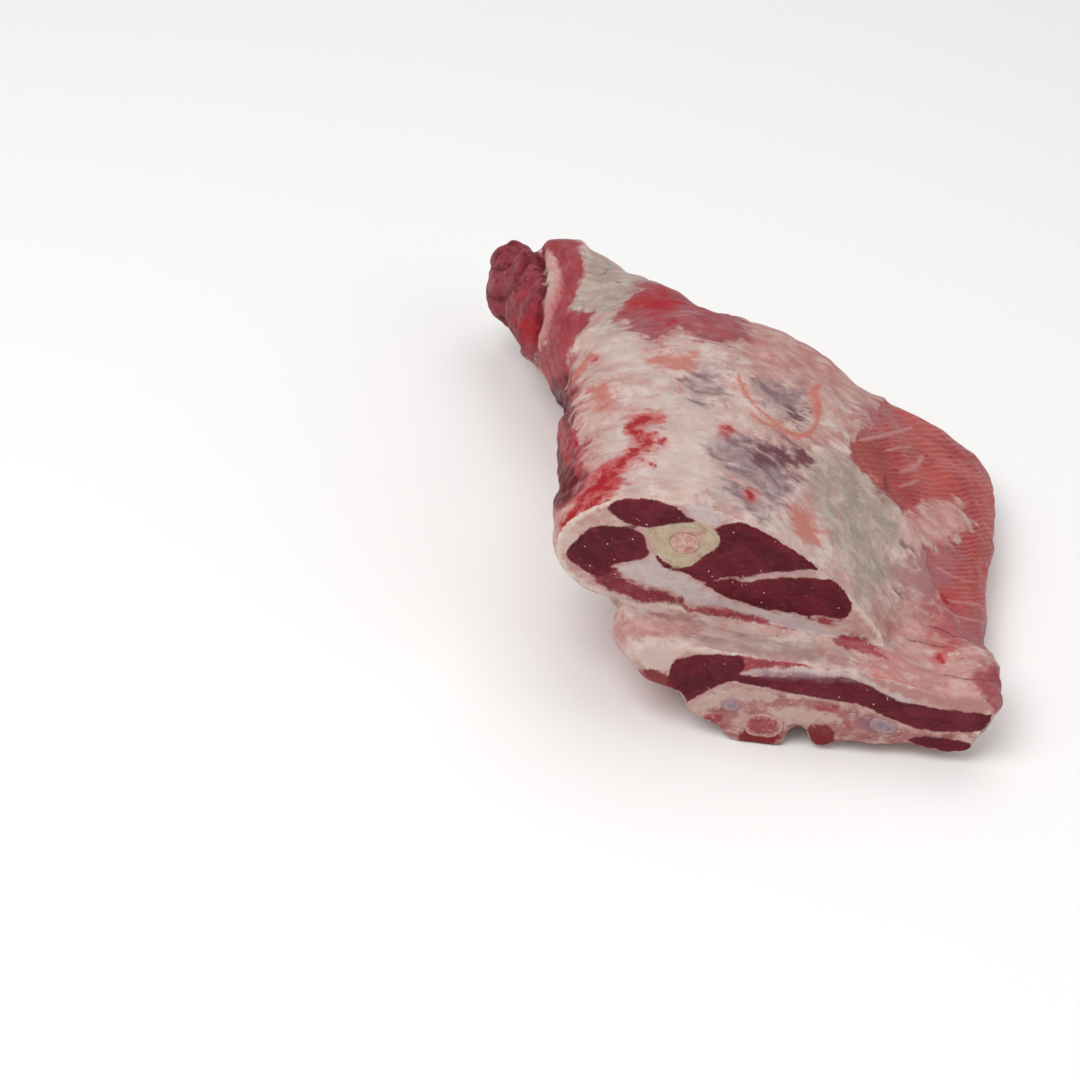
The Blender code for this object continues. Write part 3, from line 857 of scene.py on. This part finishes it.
pale_membrane = mottled(tree, drawn_out, "#bd8f88", [
    ("#cfb2a9", 7, 0.46, 0.62, 0.85),
    ("#a9605f", 5, 0.55, 0.70, 0.7),
    ("#c4a0a3", 4, 0.52, 0.68, 0.6),
])
bruised = mottled(tree, drawn_out, "#856d71", [
    ("#a79599", 9, 0.46, 0.62, 0.8),
    ("#6d4850", 7, 0.52, 0.68, 0.7),
    ("#ae8d89", 4, 0.54, 0.70, 0.6),
])
bruised = mottled(tree, wispy, bruised, [("#b9aba8", 2.4, 0.54, 0.72, 0.5)])
silverskin = mottled(tree, swirl, "#9c8c82", [
    ("#bdaea3", 8, 0.45, 0.60, 0.8),
    ("#ad7f77", 6, 0.54, 0.66, 0.7),
    ("#88827b", 11, 0.50, 0.64, 0.7),
    ("#a35f5b", 4, 0.61, 0.72, 0.6),
])
silverskin = mottled(tree, wispy, silverskin, [("#c4b7ad", 2.4, 0.53, 0.72, 0.5)])
bare_muscle = mottled(tree, drawn_out, "#99484f", [
    ("#7d343d", 6, 0.50, 0.66, 0.8),
    ("#a96b6e", 5, 0.52, 0.68, 0.7),
])

# %% [markdown]
# The striped muscle has parallel bundles of fibres that run level in the photograph, so the wave that
# draws them is laid over the photograph's rows. The band and the torn end are rougher and darker.

# %% Striped muscle, band and torn end
STRIPES_PER_METRE = 140.0

picture_row = add(tree, "ShaderNodeAttribute", {}, attribute_name="picture_row").outputs["Fac"]
fibre_row = add(tree, "ShaderNodeMath", {0: picture_row, 1: MM}, operation="MULTIPLY").outputs[0]
parts = add(tree, "ShaderNodeSeparateXYZ", {"Vector": plain})
along_fibres = add(tree, "ShaderNodeCombineXYZ", {
    "X": parts.outputs["X"], "Y": fibre_row, "Z": parts.outputs["Z"],
}).outputs[0]
stripes = add(tree, "ShaderNodeTexWave", {
    "Vector": along_fibres, "Scale": STRIPES_PER_METRE, "Distortion": 9.0, "Detail": 4.0,
    "Detail Scale": 0.25, "Detail Roughness": 0.7,
}, bands_direction="Y").outputs["Fac"]
striped = mottled(tree, drawn_out, "#9f3b3e", [
    ("#b3534e", 16, 0.42, 0.60, 0.9),
    ("#9c343a", 20, 0.50, 0.66, 0.8),
    ("#b8716a", 6, 0.55, 0.72, 0.5),
    ("#85343a", 4, 0.60, 0.74, 0.4),
])
band = mottled(tree, lengthwise, "#963c42", [
    ("#a6565b", 9, 0.45, 0.65, 0.8),
    ("#7a2831", 6, 0.52, 0.70, 0.8),
    ("#b06e70", 2.4, 0.56, 0.72, 0.55),
])
torn = mottled(tree, plain, "#82303a", [
    ("#93434b", 8, 0.44, 0.60, 0.9),
    ("#5a151f", 5, 0.52, 0.66, 0.85),
    ("#a93038", 9, 0.55, 0.68, 0.7),
    ("#b26c70", 3, 0.58, 0.72, 0.6),
])

# %% [markdown]
# The sawn faces show the inside: a creamy rim that turns pink further in, wet wine-red lean with fine
# pale lines between its bundles, chalky hard fat, and a smeared lower edge of the breast.

# %% Rim, chalky fat and lean of the sawn faces
BUNDLE = 4 * MM

rim = mottled(tree, drawn_out, "#ba9088", [
    ("#ccb3aa", 6, 0.46, 0.64, 0.8),
    ("#a96a68", 4, 0.55, 0.70, 0.65),
    ("#d6c4bb", 1.6, 0.56, 0.72, 0.5),
])
outer_rim = mottled(tree, drawn_out, "#cbb3a8", [
    ("#d8c8be", 5, 0.46, 0.64, 0.8),
    ("#b58883", 4, 0.55, 0.70, 0.6),
])
lower_breast = mottled(tree, drawn_out, "#a16b67", [
    ("#c6a49e", 9, 0.48, 0.60, 0.9),
    ("#8c4a4c", 5, 0.53, 0.66, 0.8),
    ("#cbb0aa", 2.2, 0.56, 0.70, 0.6),
])
chalk = mottled(tree, drawn_out, "#bda9a8", [
    ("#cbbcb9", 6, 0.44, 0.64, 0.8),
    ("#b08f8d", 6, 0.55, 0.72, 0.5),
    ("#d8ccc8", 1.2, 0.54, 0.72, 0.4),
])
lean = mottled(tree, drawn_out, "#5f0f20", [
    ("#701f2e", 7, 0.45, 0.62, 0.8),
    ("#4d0718", 12, 0.48, 0.62, 0.85),
    ("#7f3a46", 1.6, 0.57, 0.76, 0.55),
    ("#430614", 2.6, 0.55, 0.72, 0.55),
])
size = {"Scale": 1 / BUNDLE}
bundles = add(tree, "ShaderNodeTexVoronoi", {"Vector": drawn_out, **size}, feature="DISTANCE_TO_EDGE")
limits = {"From Min": 0.09, "From Max": 0.0, "To Max": 0.08}
between = add(tree, "ShaderNodeMapRange", {"Value": bundles.outputs["Distance"], **limits}).outputs[0]
mix = {0: between, 6: lean, 7: linear("#8a4e54")}
lean = add(tree, "ShaderNodeMix", mix, data_type="RGBA").outputs[2]
pale_lean = mottled(tree, drawn_out, "#984049", [
    ("#b0646a", 4, 0.46, 0.62, 0.8),
    ("#7b2833", 6, 0.50, 0.66, 0.7),
    ("#c39390", 2.0, 0.57, 0.72, 0.6),
])

# %% [markdown]
# The tissues are laid over one another, each where its stored distance says. A noise shakes every
# border by a millimetre or more, because tissue tears and soaks rather than ends on a line.

# %% Borders that are shaken


def shaking(tree, where, size_mm):
    """A noise from about -1 to 1."""
    cloud = add(tree, "ShaderNodeTexNoise", {
        "Vector": where, "Scale": 1 / (size_mm * MM), "Detail": 4.0, "Roughness": 0.65,
    })
    limits = {"From Min": 0.3, "From Max": 0.7, "To Min": -1.0, "To Max": 1.0}
    return add(tree, "ShaderNodeMapRange", {"Value": cloud.outputs["Fac"], **limits}).outputs[0]


def share_of(tree, name, soft_mm, shake_mm, shake, strength):
    """How much an area shows at a point, from 0 to its strength."""
    depth = add(tree, "ShaderNodeAttribute", {}, attribute_name=name).outputs["Fac"]
    depth = add(tree, "ShaderNodeMath", {0: shake, 1: shake_mm, 2: depth}, operation="MULTIPLY_ADD")
    limits = {"From Min": -soft_mm / 2, "From Max": soft_mm / 2, "To Max": strength}
    value = {"Value": depth.outputs[0], **limits}
    return add(tree, "ShaderNodeMapRange", value, interpolation_type="SMOOTHSTEP").outputs[0]


def laid_over(tree, colour, layers):
    """Layers over a colour: (area, colour, softness in mm, shake in mm, the shake, strength)."""
    for name, upper, *edge in layers:
        upper = linear(upper) if isinstance(upper, str) else upper
        mix = {0: share_of(tree, name, *edge), 6: colour, 7: upper}
        colour = add(tree, "ShaderNodeMix", mix, data_type="RGBA").outputs[2]
    return colour


fine = shaking(tree, plain, 1.5)
middle = shaking(tree, plain, 4.5)
wide = shaking(tree, drawn_out, 7.0)


def lines_over(tree, colour, layers):
    """Thin lines over a colour: (line, colour, how far it frays in half widths, strength)."""
    for name, upper, fray, strength in layers:
        near = add(tree, "ShaderNodeAttribute", {}, attribute_name=name).outputs["Fac"]
        limits = {"From Min": -1.8, "From Max": -0.6, "To Max": strength}
        near = add(tree, "ShaderNodeMapRange", {"Value": near, **limits}).outputs[0]
        side = add(tree, "ShaderNodeAttribute", {}, attribute_name=name + "_side").outputs["Fac"]
        width = add(tree, "ShaderNodeMath", {0: side}, operation="ABSOLUTE").outputs[0]
        frayed = add(tree, "ShaderNodeMath", {0: fine, 1: fray, 2: width}, operation="MULTIPLY_ADD")
        limits = {"From Min": 1.8, "From Max": 0.2}
        across = add(tree, "ShaderNodeMapRange", {"Value": frayed.outputs[0], **limits}).outputs[0]
        share = add(tree, "ShaderNodeMath", {0: near, 1: across}, operation="MULTIPLY").outputs[0]
        mix = {0: share, 6: colour, 7: linear(upper)}
        colour = add(tree, "ShaderNodeMix", mix, data_type="RGBA").outputs[2]
    return colour


# %% [markdown]
# The outside, from the lowest layer to the highest: tints of fat first, then bare muscle with the
# veils that lie on it, then blood, then creases, clefts and holes painted darker as painted shade,
# and last the thin lines.

# %% The colour of the outside
limits = {"From Min": 0.45, "From Max": 0.95}
pale_stripe = add(tree, "ShaderNodeMapRange", {"Value": stripes, **limits}).outputs[0]
cloud = add(tree, "ShaderNodeTexNoise", {"Vector": drawn_out, "Scale": 1 / (18 * MM), "Detail": 3.0})
limits = {"From Min": 0.35, "From Max": 0.65, "To Min": 0.1, "To Max": 0.6}
clearness = add(tree, "ShaderNodeMapRange", {"Value": cloud.outputs["Fac"], **limits}).outputs[0]
pale_stripe = add(tree, "ShaderNodeMath", {0: pale_stripe, 1: clearness}, operation="MULTIPLY").outputs[0]
mix = {0: pale_stripe, 6: striped, 7: linear("#be7871")}
striped = add(tree, "ShaderNodeMix", mix, data_type="RGBA").outputs[2]
outside = laid_over(tree, fat, [
    ("cream", "#c6b9b2", 14, 7, wide, 0.5),
    # painted shade in mauve-grey
    ("pinkish", pink_fat, 12, 9, wide, 0.8),
    ("dusky_shade", "#936b6d", 10, 6, wide, 0.6),
    ("greyish", silverskin, 12, 8, wide, 0.85),
    ("peachy", "#b86a5e", 7, 6, wide, 0.85),
    ("bruise", bruised, 12, 8, wide, 0.92),
    ("dark_bruise", "#64303a", 8, 6, wide, 0.85),
    ("mauve", bare_muscle, 5, 4, wide, 0.95),
    ("orange_line", "#c07a6d", 4, 2.4, wide, 0.7),
    ("striped", striped, 3.0, 3.4, wide, 1.0),
    ("shaded", "#81403c", 8, 6, wide, 0.6),
    ("veil", "#9d6669", 11, 9, wide, 0.75),
    ("pale_patch", pale_membrane, 6, 5, wide, 0.8),
    ("wedge", pale_lean, 2.0, 1.4, middle, 0.9),
    ("band", band, 2.6, 1.4, middle, 1.0),
    ("blood_wash", "#a93a40", 9, 8, wide, 0.5),
    ("flank", torn, 5, 4, wide, 0.95),
    ("torn", torn, 3.0, 2.0, middle, 1.0),
    ("blood", "#a01c26", 5, 4, wide, 0.88),
    # the flank's near-black layer is painted shade over its dark muscle
    ("flank", "#4b0b15", 8, 6, wide, 0.82),
    ("blood_halo", "#bb5152", 5, 3, wide, 0.6),
    ("blood_line", "#99131c", 2.4, 2.2, middle, 0.93),
    # painted shade: creases, clefts and holes get a darker colour in the recesses of their relief
    ("shaded_crease", "#7d5655", 3.0, 1.6, wide, 0.55),
    ("shaded_groove", "#5a0d15", 2.4, 1.2, middle, 0.8),
    ("shaded_holes", "#3a1a1e", 2.5, 1.0, middle, 0.9),
])
outside = lines_over(tree, outside, [
    ("orange_line", "#b8614f", 1.5, 0.7),
    ("pale_line", "#bb827e", 1.0, 0.8),
    # dark lines, partly painted shadow in small clefts
    ("dark_line", "#5c2c32", 0.8, 0.6),
])

# %% [markdown]
# The sawn faces in the same way: rim, soft fat, hard fat, muscles, bone and blood. Their share ends
# where the saw's firm edge is, so it is the last thing that the two colours are mixed by.

# %% The colour of the sawn faces
cut = laid_over(tree, outer_rim, [
    ("inner_cut", rim, 2.0, 1.4, middle, 1.0),
    ("lower_breast", lower_breast, 3.0, 1.0, middle, 1.0),
    ("creamy_cut", outer_rim, 4.0, 3.0, middle, 0.6),
    ("pink_cut", "#b07a74", 4.0, 2.4, middle, 0.85),
    ("flap", "#c9b0a7", 2.0, 1.4, middle, 0.9),
    ("chalk", chalk, 2.6, 1.8, middle, 1.0),
    ("pale_lean", pale_lean, 2.0, 1.4, middle, 1.0),
    ("strip", pale_lean, 2.0, 1.4, middle, 1.0),
    ("strip", "#6b1c29", 2.4, 1.6, middle, 0.6),
    ("lean", lean, 1.0, 0.6, middle, 1.0),
    # gristle, with a painted bluish sheen of silverskin along the strip
    ("gristle_and_sheen", "#875f6a", 3.0, 1.4, middle, 0.75),
    ("bone", "#b9a88c", 1.2, 0.6, fine, 1.0),
    ("bloody_cut", "#740f1a", 2.0, 2.0, middle, 0.92),
])
cut = lines_over(tree, cut, [("seam", "#b39296", 0.7, 0.6)])
is_cut = share_of(tree, "sawn", 0.7, 0.3, fine, 1.0)
mix = {0: is_cut, 6: outside, 7: cut}
final_colour = add(tree, "ShaderNodeMix", mix, data_type="RGBA").outputs[2]

# %% [markdown]
# The shader of raw_mutton. Its surface is damp, with soft broken highlights, and light goes a little
# way into it, which gives the eye the softness of flesh. Small folds, grain and the ribs of the fibres
# are only bump, because they are far finer than the net.

# %% The raw mutton shader
FOLD_MM = 3.5
SPECKLE_MM = 0.8
wet_cloud = add(tree, "ShaderNodeTexNoise", {"Vector": plain, "Scale": 1 / (7 * MM), "Detail": 3.0})
limits = {"From Min": 0.3, "From Max": 0.7, "To Min": 0.36, "To Max": 0.55}
wetness = add(tree, "ShaderNodeMapRange", {"Value": wet_cloud.outputs["Fac"], **limits}).outputs[0]
folds = add(tree, "ShaderNodeTexNoise", {
    "Vector": drawn_out, "Scale": 1 / (FOLD_MM * MM), "Detail": 4.0, "Roughness": 0.6,
})
bump = add(tree, "ShaderNodeBump", {
    "Height": folds.outputs["Fac"], "Strength": 0.6, "Distance": 1.0 * MM,
})
grain = add(tree, "ShaderNodeTexNoise", {"Vector": plain, "Scale": 1 / (SPECKLE_MM * MM), "Detail": 3.0})
bump = add(tree, "ShaderNodeBump", {
    "Height": grain.outputs["Fac"], "Strength": 0.5, "Distance": 0.3 * MM, "Normal": bump.outputs[0],
})
is_striped = share_of(tree, "striped", 3.0, 3.4, wide, 1.0)
fibre_height = add(tree, "ShaderNodeMath", {0: stripes, 1: is_striped}, operation="MULTIPLY").outputs[0]
bump = add(tree, "ShaderNodeBump", {
    "Height": fibre_height, "Strength": 0.5, "Distance": 0.4 * MM, "Normal": bump.outputs[0],
})
shader = add(tree, "ShaderNodeBsdfPrincipled", {
    "Base Color": final_colour,
    "Roughness": wetness,
    "Subsurface Weight": 0.25,
    "Subsurface Scale": 1.0,
    "Subsurface Radius": (1.6 * MM, 0.7 * MM, 0.5 * MM),
    "IOR": 1.42,
    "Specular IOR Level": 0.22,
    "Normal": bump.outputs[0],
})
add(tree, "ShaderNodeOutputMaterial", {"Surface": shader.outputs[0]})
skin.materials.clear()
skin.materials.append(raw_mutton)
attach(mutton, "root")
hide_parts("meat")

# %% [markdown]
# The saw cut through the arm bone, a rib and two cartilages. Each piece is its CAD solid, remeshed
# finely, with the small pits of sawn bone on it. Inside the hard shell lies a softer, redder core,
# whose border is shaken like those of the meat. On the arm bone it follows the photograph.

# %% Sawn bones
BONE_GRAIN = 0.75 * MM
BONE_ROUNDS = 3
FIT = 0.3 * MM
PIT_DEPTH = 0.3 * MM
PIT_SIZE = 3 * MM
SHELL_MM = 1.4


def sawn_bone(name):
    """A node's solid with a pitted surface, its sawn end still flat."""
    work = merged(name)
    obj = remeshed("sawn_" + name, work, BONE_GRAIN)
    work.free()
    mesh = obj.data
    points = read_points(mesh.vertices, "co")
    front = points[:, 1].min()
    flat = points[:, 1] < front + PIT_DEPTH
    lines = edges_of(mesh)
    for _ in range(BONE_ROUNDS):
        points = relaxed(points, lines)
        points[flat, 1] = front
    move_to(mesh, points)
    border = points[lines[flat[lines[:, 0]] != flat[lines[:, 1]]]].mean(axis=1)
    core = depth_in(pixels_of(points), MARROW)
    if name not in ("humerus", "marrow"):
        core = nearest(border, points)[1] - SHELL_MM
    core = np.where(flat, core, OUTSIDE)
    normals = read_points(mesh.vertex_normals, "vector")
    pits = np.array([noise.noise(Vector(p) / PIT_SIZE) for p in points]) * NOISE_GAIN
    points += normals * (pits * PIT_DEPTH + FIT)[:, None]
    points[flat, 1] = front + PIT_DEPTH * (1 - pits[flat])
    points[:, 1] = np.maximum(points[:, 1], front)
    move_to(mesh, points)
    mesh.attributes.new("core", "FLOAT", "POINT").data.foreach_set("value", core.astype(np.float32))
    mesh.shade_smooth()
    mesh.materials.clear()
    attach(obj, "root")
    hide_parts(name)
    print(name, "has", 2 * len(mesh.polygons), "triangles")
    return obj


# %% [markdown]
# sawn_bone is dry, chalky yellow with a pink core of marrow. spongy_rib is soft red bone full of blood
# in a thin pale shell. cartilage is smooth, bluish and a little see-through. All three give the eye a
# dull, granular patch in the wet lean. Each entry has its nodes, the shell's colours and the core's.

# %% Finishes of bone and cartilage
BONE_LOOKS = {
    "sawn_bone": (("humerus", "marrow"), "#b6a089", [
        ("#c4b697", 6, 0.47, 0.64, 0.7), ("#ac8070", 4, 0.52, 0.68, 0.75),
        ("#9d8d75", 2, 0.54, 0.72, 0.5),
    ], "#bd8a80", [
        ("#cfb4a3", 2.6, 0.46, 0.60, 0.9), ("#a8525a", 3.5, 0.54, 0.66, 0.9),
        ("#cdb6a2", 1.0, 0.54, 0.68, 0.7),
    ]),
    "spongy_rib": (("rib",), "#b98c84", [
        ("#cbb0a6", 3, 0.46, 0.62, 0.8), ("#96434a", 3, 0.52, 0.68, 0.8),
    ], "#9a4a4b", [
        ("#7c2b32", 3, 0.48, 0.64, 0.8), ("#b98480", 2, 0.52, 0.66, 0.8),
    ]),
    "cartilage": (("left_cartilage", "right_cartilage"), "#a27c80", [
        ("#b79a9a", 3, 0.46, 0.62, 0.8), ("#8a4f58", 3, 0.54, 0.70, 0.7),
    ], "#84737b", [
        ("#a1929a", 3, 0.47, 0.64, 0.8), ("#8a626d", 4, 0.52, 0.68, 0.7),
    ]),
}
for finish, (nodes, shell, shell_clouds, core, core_clouds) in BONE_LOOKS.items():
    material, tree = new_material(finish)
    where = add(tree, "ShaderNodeTexCoord", {}).outputs["Object"]
    shell = mottled(tree, where, shell, shell_clouds)
    core = mottled(tree, where, core, core_clouds)
    shake = shaking(tree, where, 2.0)
    colour = laid_over(tree, shell, [("core", core, 1.2, 1.6, shake, 1.0)])
    pits = add(tree, "ShaderNodeTexVoronoi", {"Vector": where, "Scale": 1 / (1.1 * MM)})
    bump = add(tree, "ShaderNodeBump", {
        "Height": pits.outputs["Distance"], "Strength": 0.4, "Distance": 0.3 * MM,
    })
    shader = add(tree, "ShaderNodeBsdfPrincipled", {
        "Base Color": colour,
        "Roughness": 0.5,
        "Specular IOR Level": 0.3,
        "Subsurface Weight": 0.2,
        "Subsurface Radius": (1.5 * MM, 0.9 * MM, 0.6 * MM),
        "Subsurface Scale": 1.0,
        "Normal": bump.outputs[0],
    })
    add(tree, "ShaderNodeOutputMaterial", {"Surface": shader.outputs[0]})
    for node in nodes:
        sawn_bone(node).data.materials.append(material)

# %% [markdown]
# The saw throws crumbs of fat and bone on the cut. crumb_fat is their finish: pale, waxy grains that
# give the eye the fine white specks of fresh sawing. They lie thickest round the bone and on the hard
# fat, so the skin stores how many there should be at each point.

# %% Where the crumbs lie
CRUMBS_PER_CM2 = 9.0
CRUMB_RADIUS = 0.46 * MM
CM2_PER_M2 = 1e4
BONE_SPOT = (-0.031, ARM_FACE_Y, 0.089)
REACH_MM = 24
FULL_TURN = 6.28
GRAIN_FACES = 20

crumb_fat, tree = new_material("crumb_fat")
shader = add(tree, "ShaderNodeBsdfPrincipled", {
    "Base Color": linear("#cbb1a7"), "Roughness": 0.5, "Subsurface Weight": 0.2,
    "Subsurface Radius": (1.0 * MM, 0.6 * MM, 0.4 * MM), "Subsurface Scale": 1.0,
})
add(tree, "ShaderNodeOutputMaterial", {"Surface": shader.outputs[0]})

_, way_to_bone = nearest(np.array([BONE_SPOT]), places)
patches = np.clip(waves(9, 11) * 2.2, 0, 1)
round_bone = 1.3 * np.exp(-((way_to_bone / REACH_MM) ** 2)) * patches
on_chalk = 1.2 * step(areas["chalk"], 6) * patches
crumbs_here = (0.05 + round_bone + on_chalk) * step(areas["sawn"], 2.0)
skin.attributes.new("crumbs", "FLOAT", "POINT").data.foreach_set("value", crumbs_here.astype(np.float32))

# %% [markdown]
# Geometry Nodes strew the crumbs: points on the sawn faces, each with a small grain of its own size
# and turn. Placing so many grains by hand would be slow, and they would look too even.

# %% Crumbs on the sawn faces
strewn = bpy.data.node_groups.new("strewn_crumbs", "GeometryNodeTree")
strewn.interface.new_socket("Geometry", in_out="INPUT", socket_type="NodeSocketGeometry")
strewn.interface.new_socket("Crumbs per square metre", in_out="INPUT", socket_type="NodeSocketFloat")
strewn.interface.new_socket("Radius", in_out="INPUT", socket_type="NodeSocketFloat")
strewn.interface.new_socket("Geometry", in_out="OUTPUT", socket_type="NodeSocketGeometry")
given = add(strewn, "NodeGroupInput", {})
amount = add(strewn, "GeometryNodeInputNamedAttribute", {"Name": "crumbs"}, data_type="FLOAT")
density = add(strewn, "ShaderNodeMath", {
    0: amount.outputs["Attribute"], 1: given.outputs["Crumbs per square metre"],
}, operation="MULTIPLY")
points = add(strewn, "GeometryNodeDistributePointsOnFaces", {
    "Mesh": given.outputs["Geometry"], "Density": density.outputs[0], "Seed": 3,
})
grain = add(strewn, "GeometryNodeMeshIcoSphere", {"Radius": given.outputs["Radius"], "Subdivisions": 1})
turn = add(strewn, "FunctionNodeRandomValue", {
    "Max": [FULL_TURN] * 3, "Seed": 4,
}, data_type="FLOAT_VECTOR")
size = add(strewn, "FunctionNodeRandomValue", {
    "Min": (0.3, 0.3, 0.3), "Max": (1.5, 1.0, 0.9), "Seed": 5,
}, data_type="FLOAT_VECTOR")
placed = add(strewn, "GeometryNodeInstanceOnPoints", {
    "Points": points.outputs["Points"], "Instance": grain.outputs["Mesh"],
    "Rotation": turn.outputs["Value"], "Scale": size.outputs["Value"],
})
real = add(strewn, "GeometryNodeRealizeInstances", {"Geometry": placed.outputs[0]})
painted = add(strewn, "GeometryNodeSetMaterial", {"Geometry": real.outputs[0], "Material": crumb_fat})
add(strewn, "NodeGroupOutput", {"Geometry": painted.outputs[0]})

crumbs = new_object("crumbs", skin.copy())
modifier = crumbs.modifiers.new("Crumbs", "NODES")
modifier.node_group = strewn
values = {"Crumbs per square metre": CRUMBS_PER_CM2 * CM2_PER_M2, "Radius": CRUMB_RADIUS}
for item in strewn.interface.items_tree:
    if item.in_out == "INPUT" and item.name in values:
        modifier[item.identifier] = values[item.name]
crumb_mesh = bpy.data.meshes.new_from_object(crumbs.evaluated_get(bpy.context.evaluated_depsgraph_get()))
crumbs.modifiers.clear()
crumbs.data = crumb_mesh
crumb_mesh.shade_smooth()
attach(crumbs, "root")
print("crumbs:", len(crumb_mesh.polygons) // GRAIN_FACES)

# %% [markdown]
# A floor of pale_floor, a matte white board that gives the eye only a soft shadow, and soft light
# from wide lamps above, as over a butcher's table.

# %% Floor and light
FLOOR_HALF = 4.0

pale_floor, tree = new_material("pale_floor")
shader = add(tree, "ShaderNodeBsdfPrincipled", {"Base Color": linear("#f4f3f2"), "Roughness": 0.8})
add(tree, "ShaderNodeOutputMaterial", {"Surface": shader.outputs[0]})
floor_mesh = bpy.data.meshes.new("floor")
work = bmesh.new()
bmesh.ops.create_grid(work, x_segments=1, y_segments=1, size=FLOOR_HALF)
work.to_mesh(floor_mesh)
work.free()
floor_mesh.materials.append(pale_floor)
floor = new_object("floor", floor_mesh)

LAMPS = {
    "key": ((-0.9, -1.1, 1.9), 1.3, 33),
    "fill": ((1.4, -0.9, 1.3), 1.6, 6),
    "top": ((0.1, 0.7, 2.0), 1.6, 12),
}
for name, (place, size, watts) in LAMPS.items():
    lamp = bpy.data.lights.new(name, "AREA")
    lamp.size = size
    lamp.energy = watts
    obj = new_object(name, lamp)
    obj.location = place
    obj.rotation_euler = (-Vector(place)).to_track_quat("-Z", "Y").to_euler()
world = bpy.data.worlds.new("studio")
world.use_nodes = True
world.node_tree.nodes["Background"].inputs["Color"].default_value = (1.0, 1.0, 1.0, 1)
world.node_tree.nodes["Background"].inputs["Strength"].default_value = 0.38
bpy.context.scene.world = world
bpy.context.scene.view_settings.view_transform = "Standard"
